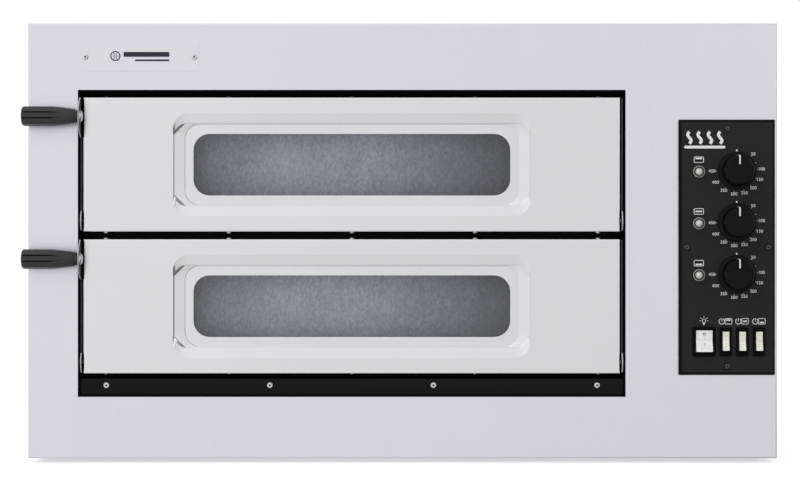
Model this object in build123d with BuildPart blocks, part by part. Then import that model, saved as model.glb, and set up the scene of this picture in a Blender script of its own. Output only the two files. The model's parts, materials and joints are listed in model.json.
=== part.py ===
from build123d import *
import os

# Two-deck electric countertop oven for baking pizza.
# Millimetres, +Z up, the front faces -Y. The origin is at mid-width of the casing and
# mid-depth of the whole oven, on the surface that the rubber feet stand on.

# ---- driving dimensions ------------------------------------------------------------
casing_width = 915.0
casing_height = 531.5
overall_depth = 690.0
foot_clearance = 6.0
handle_reach = 28.5
gland_reach = 16.0
fascia_sheet = 1.5
casing_sheet = 1.2

door_centre_x = -62.0
door_width = 656.0
door_height = 164.3
door_gap = 9.0
door_side_gap = 6.5
sill_height = 28.4
opening_bottom = foot_clearance + 75.1
skin_depth = 25.0
skin_sheet = 1.0
plug_back = 42.0
pivot_rise = 13.4
pivot_depth = 12.6
hinge_ear_radius = 18.0
hinge_pin_radius = 4.0
running_gap = 0.05

window_width = 388.0
window_height = 75.5
window_radius = 20.0
recess_depth = 7.0
recess_shoulder = 2.4
recess_step = 4.4
recess_foot = 6.3
handle_drop = 24.1
handle_forward = 16.0
handle_ear_radius = 25.0

chamber_width = 620.0
chamber_depth = 500.0
mouth_height = 120.0
mouth_rise = 30.0
stone_thickness = 15.0
element_bay = 20.0
liner_sheet = 1.2
element_radius = 4.0
element_pitch = 70.0

panel_centre_x = 395.7
panel_centre_z = foot_clearance + 257.8
panel_width = 117.4
panel_height = 311.6
panel_reach = 6.0
knob_x = 407.2
knob_rise = 93.3
knob_pitch = 63.0
lamp_x = 361.0
lamp_drop = 1.2

# ---- places worked out from them ---------------------------------------------------
half_width = casing_width / 2
front_y = -overall_depth / 2 + handle_reach
rear_y = overall_depth / 2 - gland_reach
casing_top = foot_clearance + casing_height

opening_half = door_width / 2 + door_side_gap
lower_door_z = opening_bottom + sill_height
upper_door_z = lower_door_z + door_height + door_gap
opening_top = upper_door_z + door_height + door_gap
surround_sheet = 2.0
surround_half = opening_half - 0.2
surround_back = front_y + plug_back + 1.0
pivot_y = front_y + pivot_depth
edge_screw_offsets = [-302.0, -151.0, 0.0, 151.0, 302.0]
bracket_sheet = 1.4
bracket_gap = 1.4
bracket_reach = bracket_gap + bracket_sheet

chamber_front = surround_back + surround_sheet
chamber_back = chamber_front + chamber_depth
chamber_right = door_centre_x + chamber_width / 2
chamber_left = door_centre_x - chamber_width / 2
element_first_y = chamber_front + 60.0
element_last_y = element_first_y + 5 * element_pitch
element_end_x = 292.0
sensor_y = element_first_y + 2.5 * element_pitch
shield_x = 276.0

panel_face = front_y - panel_reach
panel_sheet = 1.5
panel_bevel = 3.6
panel_rim = 4.0
knob_heights = {
    "top": panel_centre_z + knob_rise,
    "middle": panel_centre_z + knob_rise - knob_pitch,
    "bottom": panel_centre_z + knob_rise - 2 * knob_pitch,
}
pilot_heights = [knob_z - lamp_drop for knob_z in knob_heights.values()]
panel_screw_places = [
    (panel_centre_x, panel_centre_z + 144.7),
    (panel_centre_x - 49.5, panel_centre_z),
    (panel_centre_x + 49.5, panel_centre_z),
    (panel_centre_x, panel_centre_z - 144.7),
]
# name: (centre x, bezel width, bezel height, rocker width, rocker half height)
switch_z = panel_centre_z - 115.0
switches = {
    "light": (367.2, 28.0, 36.4, 19.6, 13.0),
    "top": (393.5, 14.6, 35.0, 7.6, 11.5),
    "middle": (413.7, 14.6, 35.0, 7.6, 11.5),
    "bottom": (434.2, 14.6, 35.0, 7.6, 11.5),
}
bezel_reach = 2.0
rocker_pivot_y = panel_face + 2.0
rocker_tilt = 8.0

foot_places = [(-380.0, -230.0), (380.0, -230.0), (-380.0, 280.0), (380.0, 280.0)]
rear_screw_heights = [30.0, 190.0, 350.0, 500.0]
top_screw_depths = [-250.0, 0.0, 285.0]
nameplate_x = (-391.0, -249.0)
nameplate_z = foot_clearance + 490.1
nameplate_height = 34.0
nameplate_screw_places = [nameplate_x[0] + 4.1, nameplate_x[1] - 5.1]
flange_screw_x = half_width - 8.5
gland_place = (390.0, foot_clearance + 60.0)

os.makedirs("parts", exist_ok=True)


# ---- small helpers -----------------------------------------------------------------
def front(y):
    """Upright plane at depth y, looking at the front: local x is X and local y is Z."""
    return Plane.XZ.offset(-y)


def slab(x, y, z, mode=Mode.ADD):
    """Box that spans the given (low, high) ranges."""
    with Locations(((x[0] + x[1]) / 2, (y[0] + y[1]) / 2, (z[0] + z[1]) / 2)):
        Box(x[1] - x[0], y[1] - y[0], z[1] - z[0], mode=mode)


def rod_x(x, y, z, radius, mode=Mode.ADD):
    """Cylinder along X between the two values of x."""
    with Locations(Location(((x[0] + x[1]) / 2, y, z), (0, 90, 0))):
        Cylinder(radius, x[1] - x[0], mode=mode)


def rod_y(x, y, z, radius, mode=Mode.ADD):
    """Cylinder along Y between the two values of y."""
    with Locations(Location((x, (y[0] + y[1]) / 2, z), (90, 0, 0))):
        Cylinder(radius, y[1] - y[0], mode=mode)


def rod_z(x, y, z, radius, mode=Mode.ADD):
    """Cylinder along Z between the two values of z."""
    with Locations((x, y, (z[0] + z[1]) / 2)):
        Cylinder(radius, z[1] - z[0], mode=mode)


def save(builder, label):
    """Label a finished piece and write its file."""
    builder.part.label = label
    export_step(builder.part, f"parts/{label}.step")


# ---- casing ------------------------------------------------------------------------
fascia_return = 18.0
with BuildPart() as fascia:
    slab(
        (-half_width, half_width),
        (front_y, front_y + fascia_return),
        (foot_clearance, casing_top),
    )
    fillet(fascia.faces().sort_by(Axis.Y)[0].edges(), radius=2.0)
    slab(
        (-half_width + fascia_sheet, half_width - fascia_sheet),
        (front_y + fascia_sheet, front_y + fascia_return),
        (foot_clearance + fascia_sheet, casing_top - fascia_sheet),
        mode=Mode.SUBTRACT,
    )
    slab(
        (door_centre_x - opening_half, door_centre_x + opening_half),
        (front_y, front_y + fascia_sheet),
        (opening_bottom, opening_top),
        mode=Mode.SUBTRACT,
    )
    # windows behind the control panel: thermostats and lamps above, switches below
    slab(
        (panel_centre_x - 43.5, panel_centre_x + 41.5),
        (front_y, front_y + fascia_sheet),
        (panel_centre_z - 55, panel_centre_z + 117),
        mode=Mode.SUBTRACT,
    )
    slab(
        (panel_centre_x - 47, panel_centre_x + 49),
        (front_y, front_y + fascia_sheet),
        (switch_z - 21, switch_z + 21),
        mode=Mode.SUBTRACT,
    )
    for screw_x, screw_z in panel_screw_places:
        rod_y(screw_x, (front_y, front_y + fascia_sheet), screw_z, 2.2, Mode.SUBTRACT)
    for screw_x in nameplate_screw_places:
        rod_y(screw_x, (front_y, front_y + fascia_sheet), nameplate_z, 1.7, Mode.SUBTRACT)
save(fascia, "fascia")

panel_outer = half_width - fascia_sheet - 0.3
panel_inner = panel_outer - casing_sheet
cover_z = casing_top - fascia_sheet - 0.3
base_z = foot_clearance + fascia_sheet + 0.3
side_bottom = base_z + 1.5
flange_width = 12.0


def side_panel(side, label):
    """Side sheet with flanges turned inwards along its top, bottom and rear edges."""
    outer = sorted((side * panel_outer, side * panel_inner))
    flange = sorted((side * panel_inner, side * (panel_inner - flange_width)))
    y = (front_y + fascia_sheet + 0.3, rear_y - casing_sheet)
    top = cover_z - casing_sheet
    with BuildPart() as panel:
        slab(outer, y, (side_bottom, top))
        slab(flange, y, (top - casing_sheet, top))
        slab(flange, y, (side_bottom, side_bottom + casing_sheet))
        slab(flange, (y[1] - casing_sheet, y[1]), (side_bottom, top))
        for screw_y in top_screw_depths:
            rod_z(
                side * flange_screw_x,
                screw_y,
                (top - casing_sheet, top),
                2.2,
                Mode.SUBTRACT,
            )
        for screw_z in rear_screw_heights:
            rod_y(
                side * flange_screw_x,
                (y[1] - casing_sheet, y[1]),
                foot_clearance + screw_z,
                2.2,
                Mode.SUBTRACT,
            )
        if side > 0:
            # cooling slots of the control compartment
            with BuildSketch(Plane.YZ.offset(panel_inner - 1)):
                with Locations((-150.0, foot_clearance + 250.0)):
                    with GridLocations(110, 16, 2, 12):
                        SlotOverall(90, 5)
            extrude(amount=casing_sheet + 2, mode=Mode.SUBTRACT)
    save(panel, label)


side_panel(-1, "left_side_panel")
side_panel(1, "right_side_panel")

with BuildPart() as top_cover:
    slab(
        (-panel_outer, panel_outer),
        (front_y + fascia_sheet + 0.3, rear_y),
        (cover_z - casing_sheet, cover_z),
    )
    # stiffening bend along the rear edge, in front of the rear cover
    slab(
        (-panel_inner + 14, panel_inner - 14),
        (rear_y - 2 * casing_sheet - 0.3, rear_y - casing_sheet - 0.3),
        (cover_z - 15, cover_z - casing_sheet),
    )
    for side in (-1, 1):
        for screw_y in top_screw_depths:
            rod_z(
                side * flange_screw_x,
                screw_y,
                (cover_z - casing_sheet, cover_z),
                2.2,
                Mode.SUBTRACT,
            )
save(top_cover, "top_cover")

with BuildPart() as rear_cover:
    slab(
        (-panel_outer, panel_outer),
        (rear_y - casing_sheet, rear_y),
        (base_z, cover_z - casing_sheet),
    )
    for side in (-1, 1):
        for screw_z in rear_screw_heights:
            rod_y(
                side * flange_screw_x,
                (rear_y - casing_sheet, rear_y),
                foot_clearance + screw_z,
                2.2,
                Mode.SUBTRACT,
            )
    rod_y(
        gland_place[0], (rear_y - casing_sheet, rear_y), gland_place[1], 11.2, Mode.SUBTRACT
    )
    with BuildSketch(front(rear_y + 1)):
        with Locations((365.0, foot_clearance + 300.0)):
            with GridLocations(90, 16, 1, 14):
                SlotOverall(90, 5)
        with Locations((-150.0, foot_clearance + 440.0)):
            with GridLocations(130, 16, 4, 4):
                SlotOverall(100, 5)
    extrude(amount=casing_sheet + 2, mode=Mode.SUBTRACT)
save(rear_cover, "rear_cover")

liner_floor_rise = mouth_rise - stone_thickness - element_bay
rail_top = lower_door_z + liner_floor_rise - liner_sheet
rail_places = [door_centre_x - 250.0, door_centre_x + 250.0]
with BuildPart() as base_plate:
    slab(
        (-panel_inner + 0.3, panel_inner - 0.3),
        (front_y + fascia_sheet + 0.3, rear_y - casing_sheet - 0.3),
        (base_z, side_bottom),
    )
    # two folded channels carry the lower chamber
    for rail_x in rail_places:
        slab(
            (rail_x - 20, rail_x + 20),
            (chamber_front, chamber_back),
            (side_bottom, rail_top),
        )
        slab(
            (rail_x - 18.5, rail_x + 18.5),
            (chamber_front, chamber_back),
            (side_bottom, rail_top - 1.5),
            mode=Mode.SUBTRACT,
        )
    for foot_x, foot_y in foot_places:
        rod_z(foot_x, foot_y, (base_z, side_bottom), 3.2, Mode.SUBTRACT)
save(base_plate, "base_plate")

with BuildPart() as rubber_feet:
    for foot_x, foot_y in foot_places:
        with BuildSketch(Plane.XY):
            with Locations((foot_x, foot_y)):
                Circle(17)
        extrude(amount=base_z, taper=-8)
        rod_z(foot_x, foot_y, (0, 4), 7.5, Mode.SUBTRACT)
        rod_z(foot_x, foot_y, (4, base_z), 3.2, Mode.SUBTRACT)
save(rubber_feet, "rubber_feet")

with BuildPart() as foot_screws:
    for foot_x, foot_y in foot_places:
        rod_z(foot_x, foot_y, (1.4, 4), 5.5)
        rod_z(foot_x, foot_y, (4, side_bottom + 8), 3.0)
        with BuildSketch(Plane.XY.offset(side_bottom)):
            with Locations((foot_x, foot_y)):
                RegularPolygon(5.5, 6)
        extrude(amount=5)
save(foot_screws, "foot_screws")

with BuildPart() as casing_screws:
    for side in (-1, 1):
        for screw_y in top_screw_depths:
            rod_z(side * flange_screw_x, screw_y, (cover_z, cover_z + 2.2), 3.8)
            rod_z(side * flange_screw_x, screw_y, (cover_z - 8, cover_z), 2.0)
        for screw_z in rear_screw_heights:
            height = foot_clearance + screw_z
            rod_y(side * flange_screw_x, (rear_y, rear_y + 2.2), height, 3.8)
            rod_y(side * flange_screw_x, (rear_y - 8, rear_y), height, 2.0)
    fillet(casing_screws.faces().sort_by(Axis.Z)[-6:].edges(), radius=1.2)
    fillet(casing_screws.faces().sort_by(Axis.Y)[-8:].edges(), radius=1.2)
save(casing_screws, "casing_screws")

# ---- black surround of the doors ---------------------------------------------------
door_bottoms = {"upper": upper_door_z, "lower": lower_door_z}
with BuildPart() as door_surround:
    slab(
        (door_centre_x - surround_half, door_centre_x + surround_half),
        (front_y - 0.6, chamber_front),
        (opening_bottom + 0.2, opening_top - 0.2),
    )
    # outward flange that lies behind the fascia
    slab(
        (door_centre_x - surround_half - 10, door_centre_x + surround_half + 10),
        (front_y + fascia_sheet + 0.1, front_y + fascia_sheet + 1.6),
        (opening_bottom - 10, opening_top + 10),
    )
    slab(
        (
            door_centre_x - surround_half + surround_sheet,
            door_centre_x + surround_half - surround_sheet,
        ),
        (front_y - 0.6, surround_back),
        (opening_bottom + 0.2 + surround_sheet, opening_top - 0.2 - surround_sheet),
        mode=Mode.SUBTRACT,
    )
    for door_z in door_bottoms.values():
        slab(
            (chamber_left, chamber_right),
            (surround_back, chamber_front),
            (door_z + mouth_rise, door_z + mouth_rise + mouth_height),
            mode=Mode.SUBTRACT,
        )
        for side in (-1, 1):
            wall = sorted(
                (
                    door_centre_x + side * surround_half,
                    door_centre_x + side * (surround_half - surround_sheet),
                )
            )
            rod_x(wall, pivot_y, door_z + pivot_rise, hinge_pin_radius, Mode.SUBTRACT)
save(door_surround, "door_surround")

wall_inner = surround_half - surround_sheet
with BuildPart() as door_divider:
    slab(
        (door_centre_x - wall_inner, door_centre_x + wall_inner),
        (front_y + 33, surround_back),
        (upper_door_z - 7.5, upper_door_z + 9),
    )
    slab(
        (door_centre_x - wall_inner, door_centre_x + wall_inner),
        (front_y + 34.5, surround_back),
        (upper_door_z - 6, upper_door_z + 7.5),
        mode=Mode.SUBTRACT,
    )
save(door_divider, "door_divider")

sill_front = front_y + 4.0
sill_bottom = opening_bottom + 0.2 + surround_sheet
sill_top = lower_door_z - 6.5
sill_screw_z = opening_bottom + 14.0
sill_screw_places = [door_centre_x + step * 100.0 for step in (-3, -1, 1, 3)]
with BuildPart() as sill_plate:
    slab(
        (door_centre_x - wall_inner + 0.3, door_centre_x + wall_inner - 0.3),
        (sill_front, surround_back),
        (sill_bottom, sill_top),
    )
    slab(
        (door_centre_x - wall_inner + 0.3, door_centre_x + wall_inner - 0.3),
        (sill_front + 1.5, surround_back),
        (sill_bottom + 1.5, sill_top - 1.5),
        mode=Mode.SUBTRACT,
    )
    for screw_x in sill_screw_places:
        rod_y(screw_x, (sill_front, sill_front + 1.5), sill_screw_z, 2.2, Mode.SUBTRACT)
save(sill_plate, "sill_plate")

with BuildPart() as sill_screws:
    for screw_x in sill_screw_places:
        rod_y(screw_x, (sill_front - 2.2, sill_front), sill_screw_z, 3.75)
        rod_y(screw_x, (sill_front, sill_front + 9), sill_screw_z, 2.0)
    fillet(sill_screws.faces().sort_by(Axis.Y)[:4].edges(), radius=1.3)
    for screw_x in sill_screw_places:
        with BuildSketch(front(sill_front - 0.7)):
            with Locations((screw_x, sill_screw_z)):
                RegularPolygon(1.5, 6)
        extrude(amount=2, mode=Mode.SUBTRACT)
save(sill_screws, "sill_screws")

with BuildPart() as hinge_pins:
    for door_z in door_bottoms.values():
        height = door_z + pivot_rise
        for side in (-1, 1):
            steps = [
                (surround_half, surround_half + 2.5, 6.0),
                (wall_inner, surround_half, hinge_pin_radius - running_gap),
                (door_width / 2 + bracket_reach + 0.3, wall_inner, 7.0),
                (door_width / 2 + 0.4, door_width / 2 + bracket_reach + 0.3, hinge_pin_radius),
            ]
            for near, far, radius in steps:
                span = sorted((door_centre_x + side * near, door_centre_x + side * far))
                rod_x(span, pivot_y, height, radius)
save(hinge_pins, "hinge_pins")


# ---- baking chambers ---------------------------------------------------------------
lamp_place_x = door_centre_x + 250.0
bulb_rises = {"upper_ceiling": mouth_height - 8.0, "bay": -stone_thickness - 7.0}


def chamber(door_z, label):
    """Folded liner: closed box with the mouth in its front and two rails for the stone."""
    mouth_z = door_z + mouth_rise
    floor = mouth_z - stone_thickness - element_bay
    ceiling = mouth_z + mouth_height
    ceiling_element_z = ceiling - 12.0
    bay_element_z = floor + 10.0
    with BuildPart() as liner:
        slab(
            (chamber_left - liner_sheet, chamber_right + liner_sheet),
            (chamber_front, chamber_back + liner_sheet),
            (floor - liner_sheet, ceiling + liner_sheet),
        )
        slab(
            (chamber_left, chamber_right),
            (chamber_front + liner_sheet, chamber_back),
            (floor, ceiling),
            mode=Mode.SUBTRACT,
        )
        slab(
            (chamber_left, chamber_right),
            (chamber_front, chamber_front + liner_sheet),
            (mouth_z, ceiling),
            mode=Mode.SUBTRACT,
        )
        for low, high in (
            (chamber_left, chamber_left + 12),
            (chamber_right - 12, chamber_right),
        ):
            slab(
                (low, high),
                (chamber_front + liner_sheet, chamber_back),
                (floor, floor + element_bay),
            )
        # holes for the element ends, the thermostat tubes and the lamp
        for element_z in (ceiling_element_z, bay_element_z):
            for element_y in (element_first_y, element_last_y):
                rod_x(
                    (chamber_right - 12, chamber_right + liner_sheet),
                    element_y,
                    element_z,
                    element_radius + 0.4,
                    Mode.SUBTRACT,
                )
        for rise in bulb_rises.values():
            rod_x(
                (chamber_right - 12, chamber_right + liner_sheet),
                sensor_y,
                mouth_z + rise,
                3.6,
                Mode.SUBTRACT,
            )
        rod_y(
            lamp_place_x,
            (chamber_back, chamber_back + liner_sheet),
            mouth_z + mouth_height / 2,
            24.0,
            Mode.SUBTRACT,
        )
    save(liner, label)


chamber(upper_door_z, "upper_chamber")
chamber(lower_door_z, "lower_chamber")


def stone(door_z, label):
    """Refractory baking stone that lies on the rails, level with the mouth's edge."""
    mouth_z = door_z + mouth_rise
    with BuildPart() as slab_stone:
        slab(
            (chamber_left + 1, chamber_right - 1),
            (chamber_front + liner_sheet + 1, chamber_back - 1),
            (mouth_z - stone_thickness, mouth_z),
        )
        chamfer(slab_stone.faces().sort_by(Axis.Z)[-1].edges(), length=1.5)
    save(slab_stone, label)


stone(upper_door_z, "upper_stone")
stone(lower_door_z, "lower_stone")


def element_path(z):
    """Six legs across the chamber, with both ends out through its right wall."""
    left_x = chamber_left + 40
    right_x = chamber_right - 50
    points = [(element_end_x, element_first_y, z)]
    for leg in range(6):
        leg_y = element_first_y + leg * element_pitch
        ends = (left_x, right_x) if leg % 2 else (right_x, left_x)
        if leg > 0:
            points.append((ends[0], leg_y, z))
        if leg < 5:
            points.append((ends[1], leg_y, z))
    points.append((element_end_x, element_last_y, z))
    return points


def heating_element(heights, label):
    """One sheathed heating tube at each of the given heights."""
    with BuildPart() as tubes:
        for z in heights:
            with BuildLine() as path:
                FilletPolyline(*element_path(z), radius=32)
            with BuildSketch(Plane(path.line @ 0, z_dir=path.line % 0)):
                Circle(element_radius)
            sweep(path=path.line)
            for end_y in (element_first_y, element_last_y):
                rod_x((element_end_x, element_end_x + 12), end_y, z, 2.0)
    save(tubes, label)


upper_mouth = upper_door_z + mouth_rise
lower_mouth = lower_door_z + mouth_rise
bay_drop = stone_thickness + element_bay - 10.0
heating_element([upper_mouth + mouth_height - 12.0], "top_element")
heating_element(
    [upper_mouth - bay_drop, lower_mouth + mouth_height - 12.0], "middle_element"
)
heating_element([lower_mouth - bay_drop], "bottom_element")
element_heights = [
    upper_mouth + mouth_height - 12.0,
    upper_mouth - bay_drop,
    lower_mouth + mouth_height - 12.0,
    lower_mouth - bay_drop,
]
sensor_heights = {
    "top": upper_mouth + bulb_rises["upper_ceiling"],
    "middle": upper_mouth + bulb_rises["bay"],
    "bottom": lower_mouth + bulb_rises["bay"],
}
lamp_heights = [upper_mouth + mouth_height / 2, lower_mouth + mouth_height / 2]

with BuildPart() as lamp_lenses:
    for lamp_z in lamp_heights:
        rod_y(lamp_place_x, (chamber_back - 2, chamber_back), lamp_z, 29.0)
        rod_y(lamp_place_x, (chamber_back - 10, chamber_back - 2), lamp_z, 24.0)
    fillet(lamp_lenses.faces().sort_by(Axis.Y)[:2].edges(), radius=5)
    for lamp_z in lamp_heights:
        rod_y(lamp_place_x, (chamber_back - 8, chamber_back), lamp_z, 20.0, Mode.SUBTRACT)
save(lamp_lenses, "lamp_lenses")

holder_back = chamber_back + 46
with BuildPart() as lamp_holders:
    for lamp_z in lamp_heights:
        rod_y(lamp_place_x, (chamber_back, holder_back), lamp_z, 23.5)
        rod_y(lamp_place_x, (chamber_back, holder_back - 8), lamp_z, 21.5, Mode.SUBTRACT)
        rod_y(lamp_place_x, (chamber_back + 12, holder_back - 8), lamp_z, 8.0)
        rod_y(lamp_place_x, (holder_back - 4, holder_back), lamp_z, 30.0)
save(lamp_holders, "lamp_holders")

blanket = 40.0
side_blanket = 24.0
with BuildPart() as insulation:
    x = (chamber_left - liner_sheet, chamber_right + liner_sheet)
    y = (chamber_front + 4, chamber_back)
    slab(x, y, (upper_mouth + mouth_height + liner_sheet, opening_top + blanket))
    slab(
        (rail_places[0] + 21, rail_places[1] - 21),
        y,
        (side_bottom + 20, rail_top - 0.2),
    )
    slab(
        x,
        y,
        (
            lower_mouth + mouth_height + liner_sheet + 0.5,
            upper_mouth - stone_thickness - element_bay - liner_sheet - 0.5,
        ),
    )
    z = (rail_top, upper_mouth + mouth_height)
    slab((x[0] - blanket, x[0] - 0.2), y, z)
    slab((x[1] + 0.2, x[1] + side_blanket), y, z)
    slab(x, (chamber_back + liner_sheet + 0.2, holder_back - 4.5), z)
    for element_z in element_heights:
        for element_y in (element_first_y, element_last_y):
            rod_x((x[1], x[1] + side_blanket), element_y, element_z, 6.0, Mode.SUBTRACT)
    for sensor_z in sensor_heights.values():
        rod_x((x[1], x[1] + side_blanket), sensor_y, sensor_z, 4.0, Mode.SUBTRACT)
    for lamp_z in lamp_heights:
        rod_y(lamp_place_x, (chamber_back, holder_back), lamp_z, 24.5, Mode.SUBTRACT)
save(insulation, "insulation")

with BuildPart() as heat_shield:
    slab(
        (shield_x, shield_x + casing_sheet),
        (front_y + 50, rear_y - 4),
        (side_bottom, cover_z - casing_sheet - 0.5),
    )
    for element_z in element_heights:
        for element_y in (element_first_y, element_last_y):
            rod_x(
                (shield_x, shield_x + casing_sheet), element_y, element_z, 6.0, Mode.SUBTRACT
            )
    for sensor_z in sensor_heights.values():
        rod_x((shield_x, shield_x + casing_sheet), sensor_y, sensor_z, 4.0, Mode.SUBTRACT)
save(heat_shield, "heat_shield")

# ---- control panel -----------------------------------------------------------------
panel_x = (panel_centre_x - panel_width / 2, panel_centre_x + panel_width / 2)
panel_z = (panel_centre_z - panel_height / 2, panel_centre_z + panel_height / 2)
with BuildPart() as control_panel:
    slab(panel_x, (panel_face, front_y), panel_z)
    chamfer(control_panel.faces().sort_by(Axis.Y)[0].edges(), length=panel_bevel)
    fillet(control_panel.edges().filter_by(Axis.Y), radius=1.2)
    slab(
        (panel_x[0] + panel_rim, panel_x[1] - panel_rim),
        (panel_face + panel_sheet, front_y),
        (panel_z[0] + panel_rim, panel_z[1] - panel_rim),
        mode=Mode.SUBTRACT,
    )
    for knob_z in knob_heights.values():
        rod_y(knob_x, (panel_face, front_y), knob_z, 5.5, Mode.SUBTRACT)
    for pilot_z in pilot_heights:
        rod_y(lamp_x, (panel_face, front_y), pilot_z, 5.2, Mode.SUBTRACT)
    for screw_x, screw_z in panel_screw_places:
        rod_y(screw_x, (panel_face, front_y), screw_z, 2.2, Mode.SUBTRACT)
    for switch_x, bezel_width, bezel_height, _, _ in switches.values():
        slab(
            (switch_x - bezel_width / 2 + 0.6, switch_x + bezel_width / 2 - 0.6),
            (panel_face, front_y),
            (switch_z - bezel_height / 2 + 1.2, switch_z + bezel_height / 2 - 1.2),
            mode=Mode.SUBTRACT,
        )
save(control_panel, "control_panel")

with BuildPart() as panel_screws:
    for screw_x, screw_z in panel_screw_places:
        rod_y(screw_x, (panel_face - 2.4, panel_face), screw_z, 3.9)
        rod_y(screw_x, (panel_face, front_y + 6), screw_z, 2.0)
    fillet(panel_screws.faces().sort_by(Axis.Y)[:4].edges(), radius=1.4)
    for screw_x, screw_z in panel_screw_places:
        slab(
            (screw_x - 2.2, screw_x + 2.2),
            (panel_face - 2.4, panel_face - 1.1),
            (screw_z - 0.5, screw_z + 0.5),
            mode=Mode.SUBTRACT,
        )
        slab(
            (screw_x - 0.5, screw_x + 0.5),
            (panel_face - 2.4, panel_face - 1.1),
            (screw_z - 2.2, screw_z + 2.2),
            mode=Mode.SUBTRACT,
        )
save(panel_screws, "panel_screws")

shaft_radius = 3.0
shaft_end = panel_face + 14.0
thermostat_back = panel_face + panel_sheet + 32.0
with BuildPart() as thermostats:
    for knob_z in knob_heights.values():
        slab(
            (knob_x - 21, knob_x + 21),
            (panel_face + panel_sheet, thermostat_back),
            (knob_z - 17, knob_z + 17),
        )
        rod_y(knob_x, (panel_face, panel_face + panel_sheet), knob_z, 5.0)
        rod_y(
            knob_x,
            (panel_face, shaft_end + 0.5),
            knob_z,
            shaft_radius + running_gap,
            Mode.SUBTRACT,
        )
        for terminal_z in (knob_z - 10, knob_z, knob_z + 10):
            slab(
                (knob_x - 12, knob_x - 5.5),
                (thermostat_back, thermostat_back + 8),
                (terminal_z - 0.4, terminal_z + 0.4),
            )
save(thermostats, "thermostats")

# Each bulb lies in its chamber; its thin tube leaves through the right wall and turns
# forward to its thermostat.
with BuildPart() as thermostat_sensors:
    for name, sensor_z in sensor_heights.items():
        rod_x((chamber_right - 90, chamber_right - 20), sensor_y, sensor_z, 3.0)
        entry = (knob_x + 12, thermostat_back, knob_heights[name])
        with BuildLine() as capillary:
            FilletPolyline(
                (chamber_right - 20, sensor_y, sensor_z),
                (320.0, sensor_y, sensor_z),
                (345.0, sensor_y - 60, (sensor_z + entry[2]) / 2),
                (entry[0], entry[1] + 60, entry[2]),
                entry,
                radius=14,
            )
        with BuildSketch(Plane(capillary.line @ 0, z_dir=capillary.line % 0)):
            Circle(1.0)
        sweep(path=capillary.line)
save(thermostat_sensors, "thermostat_sensors")


def knob(name):
    """Skirted knob with its shaft, which turns in the thermostat."""
    z = knob_heights[name]
    skirt_back = panel_face - 0.6
    cap_front = skirt_back - 21.5
    with BuildPart() as body:
        rod_y(knob_x, (skirt_back - 3.0, skirt_back), z, 23.0)
        chamfer(body.faces().sort_by(Axis.Y)[0].edges(), length=1.4)
        with BuildSketch(front(skirt_back - 3.0)):
            with Locations((knob_x, z)):
                Circle(19.0)
        extrude(amount=18.5, taper=3)
        fillet(body.faces().sort_by(Axis.Y)[0].edges(), radius=2.2)
        rod_y(knob_x, (skirt_back, shaft_end), z, shaft_radius)
        # groove of the pointer line
        with BuildSketch(front(cap_front + 0.4)):
            with Locations((knob_x, z + 12.2)):
                Rectangle(1.7, 9.6)
        extrude(amount=2.4, mode=Mode.SUBTRACT)
    save(body, f"{name}_knob")


for knob_name in knob_heights:
    knob(knob_name)

with BuildPart() as pilot_bezels:
    for pilot_z in pilot_heights:
        rod_y(lamp_x, (panel_face - 3.4, panel_face), pilot_z, 7.3)
    fillet(pilot_bezels.faces().sort_by(Axis.Y)[:3].edges(), radius=0.7)
    for pilot_z in pilot_heights:
        rod_y(lamp_x, (panel_face, panel_face + 28), pilot_z, 5.0)
        rod_y(lamp_x, (panel_face - 3.4, panel_face - 1.2), pilot_z, 6.3, Mode.SUBTRACT)
        rod_y(lamp_x, (panel_face - 3.4, panel_face + 24), pilot_z, 4.6, Mode.SUBTRACT)
save(pilot_bezels, "pilot_bezels")

with BuildPart() as pilot_lenses:
    for pilot_z in pilot_heights:
        rod_y(lamp_x, (panel_face - 4.6, panel_face + 10), pilot_z, 4.5)
    fillet(pilot_lenses.faces().sort_by(Axis.Y)[:3].edges(), radius=2.2)
save(pilot_lenses, "pilot_lenses")

bezel_front = panel_face - bezel_reach
rocker_pin_radius = 1.2
with BuildPart() as switch_housings:
    for switch_x, bezel_width, bezel_height, rocker_width, rocker_half in switches.values():
        with BuildSketch(front(panel_face)):
            with Locations((switch_x, switch_z)):
                RectangleRounded(bezel_width, bezel_height, 1.6)
        extrude(amount=bezel_reach)
        body_x = (switch_x - bezel_width / 2 + 0.8, switch_x + bezel_width / 2 - 0.8)
        body_z = (switch_z - bezel_height / 2 + 1.5, switch_z + bezel_height / 2 - 1.5)
        slab(body_x, (panel_face, panel_face + 24), body_z)
        slab(
            (switch_x - rocker_width / 2 - 0.4, switch_x + rocker_width / 2 + 0.4),
            (bezel_front, panel_face + 12),
            (switch_z - rocker_half - 1.4, switch_z + rocker_half + 1.4),
            mode=Mode.SUBTRACT,
        )
        rod_x(
            (switch_x - rocker_width / 2 - 1.2, switch_x + rocker_width / 2 + 1.2),
            rocker_pivot_y,
            switch_z,
            rocker_pin_radius + running_gap,
            Mode.SUBTRACT,
        )
        for blade_z in (switch_z - 8, switch_z, switch_z + 8):
            slab(
                (switch_x - 2.4, switch_x + 2.4),
                (panel_face + 24, panel_face + 32),
                (blade_z - 0.4, blade_z + 0.4),
            )
save(switch_housings, "switch_housings")


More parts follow.
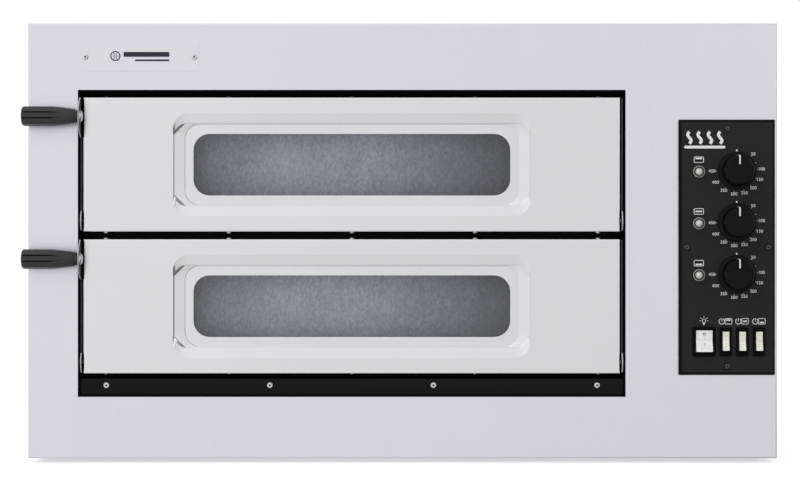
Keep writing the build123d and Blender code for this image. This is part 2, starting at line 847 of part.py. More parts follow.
def rocker(name):
    """Rocker with a hollow face, stored with its upper end pressed in."""
    switch_x, _, _, width, half = switches[name]
    tilted = Plane(
        origin=(switch_x - width / 2, rocker_pivot_y, switch_z),
        x_dir=Vector(0, 1, 0).rotate(Axis.X, -rocker_tilt),
        z_dir=(1, 0, 0),
    )
    with BuildPart() as key:
        with BuildSketch(tilted):
            with BuildLine():
                Polyline(
                    (-8.0, half),
                    (-6.0, 0.0),
                    (-8.0, -half),
                    (0.0, -half),
                    (4.5, -5.0),
                    (4.5, 5.0),
                    (0.0, half),
                    close=True,
                )
            make_face()
        extrude(amount=width)
        fillet(key.edges().filter_by(Axis.X).sort_by(Axis.Y)[:2], radius=0.9)
        rod_x(
            (switch_x - width / 2 - 1.0, switch_x + width / 2 + 1.0),
            rocker_pivot_y,
            switch_z,
            rocker_pin_radius,
        )
    save(key, f"{name}_rocker")


for switch_name in switches:
    rocker(switch_name)

with BuildPart() as nameplate:
    with BuildSketch(front(front_y)):
        with Locations((sum(nameplate_x) / 2, nameplate_z)):
            RectangleRounded(nameplate_x[1] - nameplate_x[0], nameplate_height, 2)
    extrude(amount=0.8)
    for screw_x in nameplate_screw_places:
        rod_y(screw_x, (front_y - 0.8, front_y), nameplate_z, 1.7, Mode.SUBTRACT)
save(nameplate, "nameplate")

with BuildPart() as nameplate_screws:
    for screw_x in nameplate_screw_places:
        rod_y(screw_x, (front_y - 2.4, front_y - 0.8), nameplate_z, 3.5)
        rod_y(screw_x, (front_y - 0.8, front_y + 7), nameplate_z, 1.5)
    fillet(nameplate_screws.faces().sort_by(Axis.Y)[:2].edges(), radius=1.2)
    for screw_x in nameplate_screw_places:
        slab(
            (screw_x - 1.9, screw_x + 1.9),
            (front_y - 2.4, front_y - 1.5),
            (nameplate_z - 0.45, nameplate_z + 0.45),
            mode=Mode.SUBTRACT,
        )
save(nameplate_screws, "nameplate_screws")

# ---- mains entry -------------------------------------------------------------------
gland_x, gland_z = gland_place
gland_bore_radius = 6.5
gland_back = rear_y + gland_reach
with BuildPart() as cable_gland:
    rod_y(gland_x, (rear_y - 12, rear_y), gland_z, 11.0)
    with BuildSketch(front(rear_y - casing_sheet)):
        with Locations((gland_x, gland_z)):
            RegularPolygon(15, 6)
    extrude(amount=5)
    with BuildSketch(front(rear_y + 7)):
        with Locations((gland_x, gland_z)):
            RegularPolygon(15, 6)
    extrude(amount=7)
    rod_y(gland_x, (rear_y + 7, gland_back), gland_z, 12.5)
    fillet(cable_gland.faces().sort_by(Axis.Y)[-1].edges(), radius=3.5)
    rod_y(gland_x, (rear_y - 12, gland_back), gland_z, gland_bore_radius, Mode.SUBTRACT)
save(cable_gland, "cable_gland")

with BuildPart() as terminal_block:
    slab((360, 420), (230, 262), (side_bottom, side_bottom + 30))
    for way in range(5):
        way_x = 366 + way * 12
        rod_z(way_x, 240, (side_bottom + 24, side_bottom + 30), 3.0, Mode.SUBTRACT)
        rod_z(way_x, 252, (side_bottom + 24, side_bottom + 30), 3.0, Mode.SUBTRACT)
        rod_y(way_x, (230, 262), side_bottom + 12, 2.6, Mode.SUBTRACT)
save(terminal_block, "terminal_block")


# ---- doors -------------------------------------------------------------------------
def rounded(width, height, radius, y, centre_z):
    """Rounded rectangle centred on the door, on the upright plane at depth y."""
    with BuildSketch(front(y)) as outline:
        with Locations((door_centre_x, centre_z)):
            RectangleRounded(width, height, radius)
    return outline.sketch


def clipped(width, height, corner, y, centre_z):
    """Rectangle with its corners cut at 45 degrees, on the upright plane at depth y."""
    with BuildSketch(front(y)) as outline:
        with Locations((door_centre_x, centre_z)):
            Rectangle(width, height)
        chamfer(outline.vertices(), length=corner)
    return outline.sketch


def pressing(grow, centre_z, mode):
    """Pressed hollow around the window, or its outer surface when grow is the sheet."""
    base_y = front_y + grow
    wider = 2 * grow
    rim = rounded(437 + wider, 126 + wider, 20 + grow, front_y, centre_z)
    shoulder = rounded(
        436 + wider, 101.8 + wider, 17 + grow, base_y + recess_shoulder, centre_z
    )
    step = clipped(434 + wider, 99.8 + wider, 13 + grow, base_y + recess_step, centre_z)
    foot = rounded(409.2 + wider, 98.7 + wider, 17.6 + grow, base_y + recess_foot, centre_z)
    floor = rounded(408 + wider, 97.5 + wider, 17 + grow, base_y + recess_depth, centre_z)
    for outer, inner in ((rim, shoulder), (shoulder, step), (step, foot), (foot, floor)):
        loft(sections=[outer, inner], ruled=True, mode=mode)


def door_skin(door_z, label):
    """Polished outer tray with the pressed hollow and the opening of the window."""
    centre_z = door_z + door_height / 2
    x = (door_centre_x - door_width / 2, door_centre_x + door_width / 2)
    with BuildPart() as skin:
        slab(x, (front_y, front_y + skin_depth), (door_z, door_z + door_height))
        fillet(skin.faces().sort_by(Axis.Y)[0].edges(), radius=1.5)
        slab(
            (x[0] + skin_sheet, x[1] - skin_sheet),
            (front_y + skin_sheet, front_y + skin_depth),
            (door_z + skin_sheet, door_z + door_height - skin_sheet),
            mode=Mode.SUBTRACT,
        )
        pressing(skin_sheet, centre_z, Mode.ADD)
        pressing(0, centre_z, Mode.SUBTRACT)
        window = rounded(
            window_width, window_height, window_radius, front_y + recess_depth + 3, centre_z
        )
        extrude(window, amount=recess_depth + 4, mode=Mode.SUBTRACT)
        for offset_x in edge_screw_offsets:
            rod_z(
                door_centre_x + offset_x,
                pivot_y,
                (door_z, door_z + door_height),
                2.0,
                Mode.SUBTRACT,
            )
    save(skin, label)


def door_inner_pan(door_z, label):
    """Inner tray inside the skin, with the plug that closes the chamber's mouth."""
    centre_z = door_z + door_height / 2
    half = door_width / 2 - skin_sheet - 0.2
    low = door_z + skin_sheet + 0.2
    high = door_z + door_height - skin_sheet - 0.2
    sheet = 1.2
    plug_half = chamber_width / 2 + 8
    plug_low = door_z + pivot_rise + 1.1
    plug_high = door_z + door_height - 10
    back = front_y + skin_depth
    with BuildPart() as pan:
        slab((door_centre_x - half, door_centre_x + half), (front_y + 5, back), (low, high))
        slab(
            (door_centre_x - half + sheet, door_centre_x + half - sheet),
            (front_y + 5, back - sheet),
            (low + sheet, high - sheet),
            mode=Mode.SUBTRACT,
        )
        slab(
            (door_centre_x - plug_half, door_centre_x + plug_half),
            (back - sheet, front_y + plug_back),
            (plug_low, plug_high),
        )
        fillet(pan.faces().sort_by(Axis.Y)[-1].edges(), radius=2.5)
        slab(
            (door_centre_x - plug_half + sheet, door_centre_x + plug_half - sheet),
            (back - sheet, front_y + plug_back - sheet),
            (plug_low + sheet, plug_high - sheet),
            mode=Mode.SUBTRACT,
        )
        window = rounded(
            window_width, window_height, window_radius, front_y + plug_back + 1, centre_z
        )
        extrude(window, amount=sheet + 2, mode=Mode.SUBTRACT)
        for offset_x in edge_screw_offsets:
            rod_z(
                door_centre_x + offset_x,
                pivot_y,
                (door_z, door_z + door_height),
                2.0,
                Mode.SUBTRACT,
            )
    save(pan, label)


pane_width = 403.0
pane_height = 92.5
pane_thickness = 4.0
outer_pane_y = front_y + recess_depth + skin_sheet
inner_pane_y = front_y + plug_back - 1.2 - pane_thickness


def door_glass(door_z, label):
    """Outer and inner panes."""
    centre_z = door_z + door_height / 2
    with BuildPart() as panes:
        for pane_y in (outer_pane_y, inner_pane_y):
            outline = rounded(pane_width, pane_height, 14, pane_y + pane_thickness, centre_z)
            extrude(outline, amount=pane_thickness)
    save(panes, label)


def door_glass_spacer(door_z, label):
    """Frame between the panes, which presses each one against its sheet."""
    centre_z = door_z + door_height / 2
    depth = inner_pane_y - outer_pane_y - pane_thickness
    with BuildPart() as spacer:
        outer = rounded(pane_width - 1, pane_height - 1, 13.5, inner_pane_y, centre_z)
        inner = rounded(pane_width - 8, pane_height - 8, 17, inner_pane_y, centre_z)
        extrude(outer, amount=depth)
        extrude(inner, amount=depth, mode=Mode.SUBTRACT)
    save(spacer, label)


def door_side_brackets(door_z, label):
    """Plates on both sides of the door: hinge ears, and on the left the handle's ear."""
    height = door_z + pivot_rise
    handle_z = door_z + door_height - handle_drop
    with BuildPart() as brackets:
        for side in (-1, 1):
            edge_x = door_centre_x + side * door_width / 2
            near_x = edge_x + side * bracket_gap
            start = min(near_x, near_x + side * bracket_sheet)
            with BuildSketch(Plane.YZ.offset(start)):
                with Locations((front_y + (0.6 + skin_depth) / 2, door_z + door_height / 2)):
                    Rectangle(skin_depth - 0.6, door_height - 2)
                with Locations((pivot_y, height)):
                    Circle(hinge_ear_radius)
                if side < 0:
                    with Locations((front_y, handle_z)):
                        Circle(handle_ear_radius)
                with Locations((front_y, door_z - 24)):
                    Rectangle(120, 50, mode=Mode.SUBTRACT)
                with Locations((front_y, door_z + door_height + 24)):
                    Rectangle(120, 50, mode=Mode.SUBTRACT)
                with Locations((pivot_y, height)):
                    Circle(hinge_pin_radius + running_gap, mode=Mode.SUBTRACT)
                if side < 0:
                    with Locations((front_y - handle_forward, handle_z)):
                        Circle(4.2, mode=Mode.SUBTRACT)
            extrude(amount=bracket_sheet)
            # pads that hold the plate off the door's side
            for pad_rise in (45.0, 85.0, 150.0):
                pad_x = sorted((edge_x, near_x))
                rod_x(pad_x, front_y + skin_depth / 2 + 2, door_z + pad_rise, 5.0)
    save(brackets, label)


grip_neck_x = door_centre_x - door_width / 2 - bracket_reach
grip_tip_x = -461.8
grip_radius = 12.3
grip_flutes = 10


def door_handle_grip(door_z, label):
    """Fluted moulded grip with a narrow collar at the bracket."""
    handle_z = door_z + door_height - handle_drop
    handle_y = front_y - handle_forward
    profile = Plane(origin=(0, handle_y, handle_z), x_dir=(1, 0, 0), z_dir=(0, -1, 0))
    with BuildPart() as grip:
        with BuildSketch(profile):
            with BuildLine():
                Polyline(
                    (grip_neck_x, 0),
                    (grip_neck_x, 7.4),
                    (grip_neck_x - 4.5, 7.4),
                    (grip_neck_x - 4.5, 8.75),
                    (grip_neck_x - 14, 10.1),
                    (grip_neck_x - 32, grip_radius),
                    (grip_tip_x + 1.5, grip_radius),
                    (grip_tip_x, grip_radius - 1.5),
                    (grip_tip_x, 0),
                    close=True,
                )
            make_face()
        revolve(axis=Axis((0, handle_y, handle_z), (1, 0, 0)))
        flutes = Plane(origin=(grip_tip_x, handle_y, handle_z), x_dir=(0, 1, 0), z_dir=(1, 0, 0))
        with BuildSketch(flutes):
            with PolarLocations(grip_radius + 0.5, grip_flutes, start_angle=22):
                Circle(1.1)
        extrude(amount=45, mode=Mode.SUBTRACT)
        rod_x((grip_neck_x - 40, grip_neck_x), handle_y, handle_z, 4.1, Mode.SUBTRACT)
    save(grip, label)


def door_handle_bolt(door_z, label):
    """Bolt with a domed head and its washer, through the ear into the grip."""
    handle_z = door_z + door_height - handle_drop
    handle_y = front_y - handle_forward
    ear_x = grip_neck_x + bracket_sheet
    with BuildPart() as bolt:
        rod_x((ear_x, ear_x + 0.6), handle_y, handle_z, 7.2)
        rod_x((ear_x + 0.6, ear_x + 2.8), handle_y, handle_z, 6.6)
        fillet(bolt.faces().sort_by(Axis.X)[-1].edges(), radius=1.9)
        rod_x((grip_neck_x - 38, ear_x), handle_y, handle_z, 4.0)
    save(bolt, label)


def door_edge_screws(door_z, label):
    """Domed screws that join the skin and the inner pan along the long edges."""
    head_height = 2.2
    head_radius = 3.3
    with BuildPart() as screws:
        for offset_x in edge_screw_offsets:
            screw_x = door_centre_x + offset_x
            top = door_z + door_height
            rod_z(screw_x, pivot_y, (top, top + head_height), head_radius)
            rod_z(screw_x, pivot_y, (top - 9, top), 1.9)
            rod_z(screw_x, pivot_y, (door_z - head_height, door_z), head_radius)
            rod_z(screw_x, pivot_y, (door_z, door_z + 9), 1.9)
        count = len(edge_screw_offsets)
        fillet(screws.faces().sort_by(Axis.Z)[-count:].edges(), radius=1.7)
        fillet(screws.faces().sort_by(Axis.Z)[:count].edges(), radius=1.7)
    save(screws, label)


door_pieces = {
    "skin": door_skin,
    "inner_pan": door_inner_pan,
    "glass": door_glass,
    "glass_spacer": door_glass_spacer,
    "side_brackets": door_side_brackets,
    "handle_grip": door_handle_grip,
    "handle_bolt": door_handle_bolt,
    "edge_screws": door_edge_screws,
}
for door_name, door_bottom in door_bottoms.items():
    for piece_name, make_piece in door_pieces.items():
        make_piece(door_bottom, f"{door_name}_door_{piece_name}")
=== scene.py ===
import json
import math

import bmesh
import bpy
from mathutils import Matrix, Vector


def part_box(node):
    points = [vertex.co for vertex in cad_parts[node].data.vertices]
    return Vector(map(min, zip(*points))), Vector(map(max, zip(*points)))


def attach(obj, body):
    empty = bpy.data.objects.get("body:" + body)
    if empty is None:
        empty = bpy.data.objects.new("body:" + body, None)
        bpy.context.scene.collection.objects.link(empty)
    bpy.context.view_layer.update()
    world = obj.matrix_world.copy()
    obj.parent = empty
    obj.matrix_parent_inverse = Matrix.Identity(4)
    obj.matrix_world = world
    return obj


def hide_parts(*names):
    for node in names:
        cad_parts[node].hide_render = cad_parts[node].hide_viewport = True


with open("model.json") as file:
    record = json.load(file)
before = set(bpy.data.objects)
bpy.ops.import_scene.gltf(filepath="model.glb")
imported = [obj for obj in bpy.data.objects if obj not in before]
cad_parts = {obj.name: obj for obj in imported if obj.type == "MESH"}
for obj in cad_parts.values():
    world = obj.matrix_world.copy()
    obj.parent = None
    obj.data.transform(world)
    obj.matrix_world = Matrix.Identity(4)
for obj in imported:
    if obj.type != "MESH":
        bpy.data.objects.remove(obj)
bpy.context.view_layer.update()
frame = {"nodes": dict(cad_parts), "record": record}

# Looks of a two-deck electric pizza oven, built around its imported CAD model. Metres.
MM = 0.001
TURN = 2 * math.pi

# ---- places read from the frame -----------------------------------------------------
fascia_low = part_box("fascia")[0]
panel_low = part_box("control_panel")[0]
plate_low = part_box("nameplate")[0]
fascia_y = fascia_low.y
panel_y = panel_low.y
KNOBS = ("top", "middle", "bottom")
DOORS = ("upper", "lower")
SWITCHES = ("light", "top", "middle", "bottom")


def middle(node):
    """Middle of a CAD node's box."""
    low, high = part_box(node)
    return (low + high) / 2


# ---- camera, floor and light ---------------------------------------------------------
CAMERA_DISTANCE = 2.300
CAMERA_X = -0.003
CAMERA_RISE = 0.2661  # above the fascia's lower edge
FRAME_WIDTH = 0.977
SENSOR = 36.0
MIDDLE = (0, 0, 0.25)

camera_data = bpy.data.cameras.new("camera")
camera_data.sensor_width = SENSOR
camera_data.lens = SENSOR * CAMERA_DISTANCE / FRAME_WIDTH
camera = bpy.data.objects.new("camera", camera_data)
camera.location = (CAMERA_X, fascia_y - CAMERA_DISTANCE, fascia_low.z + CAMERA_RISE)
camera.rotation_euler = (math.radians(90), 0, 0)
bpy.context.scene.collection.objects.link(camera)
bpy.context.scene.camera = camera
bpy.context.scene.view_settings.view_transform = "Standard"


def area_light(name, place, target, size, power, mirrored=True):
    """Square soft box that points at the target; metal shows it only where it is mirrored."""
    lamp = bpy.data.lights.new(name, "AREA")
    lamp.shape = "SQUARE"
    lamp.size = size
    lamp.energy = power
    light = bpy.data.objects.new(name, lamp)
    light.location = place
    light.rotation_euler = (Vector(target) - Vector(place)).to_track_quat("-Z", "Y").to_euler()
    light.visible_glossy = mirrored
    bpy.context.scene.collection.objects.link(light)


area_light("key_light", (-1.7, -2.1, 1.9), MIDDLE, 1.3, 11, mirrored=False)
area_light("top_light", (-0.2, fascia_y - 0.45, 1.7), (0, fascia_y, 0.25), 1.0, 6, mirrored=False)
area_light("fill_light", (2.1, -1.6, 1.2), MIDDLE, 1.3, 6)
area_light("rear_light", (0.6, 2.6, 2.0), MIDDLE, 1.6, 8)


class Graph:
    """Shader nodes of one material or world."""

    def __init__(self, tree):
        self.nodes = tree.nodes
        self.links = tree.links

    def feed(self, node, socket, value):
        """Link an output to a socket, or set the socket to a plain value."""
        if isinstance(value, bpy.types.NodeSocket):
            self.links.new(value, node.inputs[socket])
        else:
            node.inputs[socket].default_value = value

    def part(self, vector, name):
        """One coordinate of a vector."""
        node = self.nodes.new("ShaderNodeSeparateXYZ")
        self.links.new(vector, node.inputs[0])
        return node.outputs[name]

    def math(self, operation, *values):
        node = self.nodes.new("ShaderNodeMath")
        node.operation = operation
        for socket, value in enumerate(values):
            self.feed(node, socket, value)
        return node.outputs[0]

    def span(self, value, low, high, out_low, out_high, curve="LINEAR"):
        """Value between low and high becomes out_low to out_high."""
        node = self.nodes.new("ShaderNodeMapRange")
        node.interpolation_type = curve
        self.feed(node, "Value", value)
        limits = {"From Min": low, "From Max": high, "To Min": out_low, "To Max": out_high}
        for socket, number in limits.items():
            node.inputs[socket].default_value = number
        return node.outputs["Result"]


def make_world():
    """White studio: brighter above and on the left, plain white where the camera looks past."""
    world = bpy.data.worlds.new("studio")
    bpy.context.scene.world = world
    world.use_nodes = True
    world.node_tree.nodes.clear()
    graph = Graph(world.node_tree)
    direction = graph.nodes.new("ShaderNodeTexCoord").outputs["Generated"]
    x, y, z = (graph.part(direction, axis) for axis in "XYZ")
    upward = graph.span(z, -0.75, 0.75, 0.81, 1.09)
    sideways = graph.span(x, -0.35, 0.35, 0.07, -0.08, "SMOOTHSTEP")
    # dark drape at the far right and its corners, on the camera's side only, so that steep steps
    # show as thin dark lines
    drape_way = graph.math("MULTIPLY_ADD", graph.math("ABSOLUTE", z), 0.75, x)
    drape = graph.span(drape_way, 0.80, 0.94, 0.0, 0.78)
    camera_side = graph.span(y, 0.10, 0.35, -1.0, 0.0)
    bare = graph.math("MULTIPLY_ADD", drape, camera_side, 1.0)
    surround = graph.nodes.new("ShaderNodeBackground")
    graph.feed(surround, "Strength", graph.math("MULTIPLY", graph.math("ADD", upward, sideways), bare))
    backdrop = graph.nodes.new("ShaderNodeBackground")
    backdrop.inputs["Color"].default_value = (1, 1, 1, 1)
    path = graph.nodes.new("ShaderNodeLightPath")
    mix = graph.nodes.new("ShaderNodeMixShader")
    graph.feed(mix, 0, path.outputs["Is Camera Ray"])
    graph.feed(mix, 1, surround.outputs[0])
    graph.feed(mix, 2, backdrop.outputs[0])
    output = graph.nodes.new("ShaderNodeOutputWorld")
    graph.feed(output, "Surface", mix.outputs[0])


make_world()


# ---- materials -----------------------------------------------------------------------
def linear(shade):
    """Screen value 0-255 to scene-linear."""
    share = shade / 255
    return share / 12.92 if share <= 0.04045 else ((share + 0.055) / 1.055) ** 2.4


def tone(red, green, blue, scale=1.0):
    """Scene-linear colour from screen values."""
    return tuple(min(1.0, linear(shade) * scale) for shade in (red, green, blue)) + (1.0,)


class Finish(Graph):
    """A Principled material whose colour, roughness and relief are procedural patterns."""

    def __init__(self, name, **sockets):
        self.material = bpy.data.materials.new(name)
        self.material.use_nodes = True
        super().__init__(self.material.node_tree)
        self.shader = self.nodes["Principled BSDF"]
        for socket, value in sockets.items():
            title = socket.replace("_", " ").title().replace("Ior", "IOR")
            self.shader.inputs[title].default_value = value
        self.place = self.nodes.new("ShaderNodeTexCoord").outputs["Object"]
        self.height = None

    def stretched(self, stretch):
        mapping = self.nodes.new("ShaderNodeMapping")
        self.links.new(self.place, mapping.inputs["Vector"])
        mapping.inputs["Scale"].default_value = stretch
        return mapping.outputs["Vector"]

    def noise(self, scale, stretch=(1, 1, 1), detail=5.0, rough=0.55):
        """Cloudy pattern, 0 to 1, of that many lumps a metre."""
        node = self.nodes.new("ShaderNodeTexNoise")
        self.links.new(self.stretched(stretch), node.inputs["Vector"])
        node.inputs["Scale"].default_value = scale
        node.inputs["Detail"].default_value = detail
        node.inputs["Roughness"].default_value = rough
        return node.outputs["Fac"]

    def cells(self, scale):
        """Distance to scattered points, for pores and spots."""
        return self.voronoi(scale).outputs["Distance"]

    def patches(self, scale):
        """One random level for each cell, for the crystals of zinc."""
        split = self.nodes.new("ShaderNodeSeparateColor")
        self.links.new(self.voronoi(scale).outputs["Color"], split.inputs[0])
        return split.outputs[0]

    def voronoi(self, scale):
        node = self.nodes.new("ShaderNodeTexVoronoi")
        self.links.new(self.place, node.inputs["Vector"])
        node.inputs["Scale"].default_value = scale
        return node

    def axis(self, name):
        """One coordinate of the surface point."""
        return self.part(self.place, name)

    def facing(self, name):
        """One part of the surface normal, without its sign."""
        geometry = self.nodes.new("ShaderNodeNewGeometry")
        return self.math("ABSOLUTE", self.part(geometry.outputs["Normal"], name))

    def mix(self, share, first, second, blend="MIX"):
        """Colour mix, by a share or a pattern."""
        node = self.nodes.new("ShaderNodeMix")
        node.data_type = "RGBA"
        node.blend_type = blend
        self.feed(node, 0, share)
        self.feed(node, 6, first)
        self.feed(node, 7, second)
        return node.outputs[2]

    def colour(self, value):
        self.feed(self.shader, "Base Color", value)

    def overlay(self, share, value):
        """Lay another colour over the present one, by a pattern."""
        under = self.shader.inputs["Base Color"].links[0].from_socket
        self.colour(self.mix(share, under, value))

    def rough(self, value):
        self.feed(self.shader, "Roughness", value)

    def relief(self, height, distance):
        """Add a bump layer of that depth in metres over the earlier ones."""
        node = self.nodes.new("ShaderNodeBump")
        node.inputs["Strength"].default_value = 1.0
        node.inputs["Distance"].default_value = distance
        self.links.new(height, node.inputs["Height"])
        if self.height is not None:
            self.links.new(self.height, node.inputs["Normal"])
        self.height = node.outputs["Normal"]
        self.links.new(self.height, self.shader.inputs["Normal"])


def shaded(colour, factor):
    """Colour made lighter or darker, within white."""
    return tuple(min(1.0, c * factor) for c in colour[:3]) + (1.0,)


def rolled_metal(name, colour, rough, grain, stretch, depth, drift, streaks=0.022):
    """Sheet metal: cloudy tone, directional grain, a few handling smears."""
    surface = Finish(name, metallic=1.0)
    cloud = surface.noise(5, (1, 1, 1), 3.0)
    lines = surface.noise(grain, stretch, 4.0, 0.7)
    smear = surface.noise(22, (1, 1, 0.6), 6.0, 0.6)
    base = surface.mix(cloud, shaded(colour, 1 - drift), shaded(colour, 1 + drift))
    streak = surface.span(lines, 0.25, 0.75, 1 - streaks, 1 + streaks)
    surface.colour(surface.mix(1.0, base, streak, "MULTIPLY"))
    worn = surface.math("ADD", surface.span(lines, 0.3, 0.7, -2 * streaks, 2 * streaks), rough)
    surface.rough(surface.math("ADD", worn, surface.span(smear, 0.45, 0.75, 0.0, 0.06)))
    surface.relief(lines, depth)
    return surface


def moulded(name, colour, rough, pebble, depth, drift=0.08, **sockets):
    """Moulded plastic, rubber or paint: fine pebbled skin and uneven sheen."""
    surface = Finish(name, **sockets)
    cloud = surface.noise(45, (1, 1, 1), 4.0)
    skin = surface.noise(pebble, (1, 1, 1), 3.0, 0.6)
    dust = surface.noise(130, (1, 1, 1), 8.0, 0.7)
    base = surface.mix(cloud, shaded(colour, 1 - drift), shaded(colour, 1 + drift))
    flecks = surface.span(dust, 0.62, 0.8, 1.0, 1.25)
    surface.colour(surface.mix(1.0, base, flecks, "MULTIPLY"))
    surface.rough(surface.span(surface.math("ADD", cloud, skin), 0.6, 1.4, rough - 0.05, rough + 0.07))
    surface.relief(skin, depth)
    return surface


def zinc_sheet():
    """Galvanised sheet with its crystal spangle."""
    surface = Finish("galvanised_sheet", metallic=1.0)
    spangle = surface.patches(110)
    cloud = surface.noise(9, (1, 1, 1), 4.0)
    fine = surface.noise(500, (1, 1, 1), 3.0)
    base = surface.mix(spangle, tone(186, 189, 192), tone(212, 215, 217))
    surface.colour(surface.mix(surface.span(cloud, 0.4, 0.8, 0, 0.4), base, tone(178, 180, 182)))
    surface.rough(surface.span(spangle, 0.0, 1.0, 0.36, 0.50))
    surface.relief(fine, 2e-6)
    return surface


def black_enamel(name="black_enamel", shade_factor=1.0, gloss=0.16):
    """Stove enamel with orange peel and faint rolling lines; a shade factor below one darkens it as painted
    shade.
    """
    surface = Finish(name, specular_ior_level=gloss)
    peel = surface.noise(900, (1, 1, 1), 2.0)
    cloud = surface.noise(16, (0.5, 1, 1), 5.0)
    folds = surface.noise(150, (0.02, 1, 1), 2.0)
    # the shade factor scales the enamel's colour down: painted shade for parts that sit in gaps and
    # recesses
    base = surface.mix(cloud, tone(8, 8, 9, shade_factor), tone(14, 14, 16, shade_factor))
    base = surface.mix(surface.span(folds, 0.55, 0.7, 0, 0.5), base, tone(24, 24, 27, shade_factor))
    surface.colour(base)
    surface.rough(surface.span(surface.math("ADD", peel, cloud), 0.6, 1.4, 0.32, 0.46))
    surface.relief(peel, 8e-6)
    return surface


def bracket_enamel():
    """Enamelled side plates: cut edges painted grey, partly worn steel and partly a painted highlight, and
    a bright painted highlight on the edge of the handle's ear where it stands out.
    """
    # enamel darkened to 0.7 by the shade factor: painted shade, as on the parts in the gaps
    surface = black_enamel("bracket_enamel", 0.7, 0.1)
    edge = surface.span(surface.facing("X"), 0.75, 0.45, 0.0, 1.0)
    edge_mottle = surface.noise(160, (1, 1, 1), 5.0, 0.7)
    # grey on the cut edges: partly worn steel, partly a painted highlight
    worn = surface.mix(edge_mottle, tone(40, 40, 43), tone(92, 92, 96))
    ear_highlight = surface.mix(edge_mottle, tone(120, 120, 124), tone(215, 215, 220))
    # painted highlight: the ear's edge, in front of the fascia, painted bright
    out = surface.span(surface.axis("Y"), fascia_y - 1.5 * MM, fascia_y - 0.5 * MM, 1.0, 0.0)
    surface.overlay(edge, surface.mix(out, worn, ear_highlight))
    return surface


def panel_black():
    """Powder-coated control panel: fine texture, nearly matt, with painted shade, near black, on its bevel
    faces.
    """
    coat = tone(38, 38, 38)
    surface = moulded("panel_powder_coat", coat, 0.5, 1500, 9e-6, 0.06, specular_ior_level=0.14)
    # bevel faces, turned away from the front, painted near black: painted shade
    bevel = surface.span(surface.facing("Y"), 0.97, 0.80, 0.0, 1.0)
    grain = surface.noise(700, (1, 1, 1), 4.0)
    surface.overlay(bevel, surface.mix(grain, tone(1, 1, 1), tone(6, 6, 6)))
    return surface


def chamber_steel():
    """Aluminised liner, tinted brown and blue by heat."""
    surface = rolled_metal("heat_tinted_liner", tone(176, 172, 165), 0.42, 260, (0.05, 1, 1), 2e-6, 0.06)
    tint = surface.noise(7, (1, 1, 1), 5.0)
    spots = surface.cells(60)
    base = surface.mix(surface.span(tint, 0.4, 0.7, 0, 0.6), tone(176, 172, 165), tone(138, 116, 92))
    surface.colour(surface.mix(surface.span(spots, 0.0, 0.12, 0.7, 0), base, tone(60, 48, 38)))
    return surface


def refractory():
    """Fired clay stone with pores, grit and scorched patches."""
    surface = Finish("fired_clay", specular_ior_level=0.25)
    grit = surface.noise(650, (1, 1, 1), 6.0, 0.7)
    pores = surface.cells(380)
    scorch = surface.noise(9, (1, 1, 1), 6.0, 0.6)
    base = surface.mix(grit, tone(196, 178, 148), tone(226, 211, 184))
    base = surface.mix(surface.span(scorch, 0.5, 0.72, 0, 0.75), base, tone(112, 84, 58))
    surface.colour(surface.mix(surface.span(pores, 0.0, 0.22, 0.8, 0), base, tone(92, 74, 56)))
    surface.rough(surface.span(grit, 0.3, 0.7, 0.8, 0.95))
    surface.relief(grit, 1.2e-4)
    surface.relief(surface.span(pores, 0.0, 0.3, 0, 1), 2.5e-4)
    return surface


def element_sheath():
    """Oxidised heater tube."""
    surface = rolled_metal("oxidised_sheath", tone(104, 100, 98), 0.5, 500, (1, 1, 1), 6e-6, 0.1)
    scale = surface.noise(90, (1, 1, 1), 6.0, 0.7)
    surface.colour(surface.mix(surface.span(scale, 0.42, 0.62, 0, 1), tone(92, 89, 88), tone(132, 104, 82)))
    return surface


def ceramic_fibre():
    """Matted mineral wool."""
    surface = Finish("mineral_wool", specular_ior_level=0.1, sheen_weight=0.3)
    strands = surface.noise(420, (0.25, 1, 1), 8.0, 0.75)
    tufts = surface.noise(60, (1, 1, 1), 6.0)
    surface.colour(surface.mix(strands, tone(206, 201, 190), tone(240, 238, 230)))
    surface.rough(surface.span(tufts, 0.3, 0.7, 0.85, 1.0))
    surface.relief(strands, 4e-4)
    surface.relief(tufts, 1.5e-3)
    return surface


def lamp_glass():
    """Moulded lamp cover."""
    surface = Finish("moulded_glass", transmission_weight=0.8, ior=1.47)
    ripple = surface.noise(120, (1, 1, 1), 3.0)
    surface.colour(surface.mix(ripple, tone(232, 228, 214), tone(250, 248, 240)))
    surface.rough(surface.span(ripple, 0.3, 0.7, 0.05, 0.18))
    surface.relief(ripple, 2e-4)
    return surface


def clear_pane():
    """Outer pane: clear toughened glass with faint wipe marks."""
    surface = Finish("clear_pane", transmission_weight=1.0, ior=1.5)
    wipe = surface.noise(30, (0.3, 1, 1), 6.0, 0.7)
    surface.colour(surface.mix(wipe, tone(226, 228, 232), tone(236, 238, 240)))
    surface.rough(surface.span(wipe, 0.4, 0.8, 0.01, 0.08))
    surface.relief(surface.noise(6, (1, 1, 1), 2.0), 2e-5)
    return surface


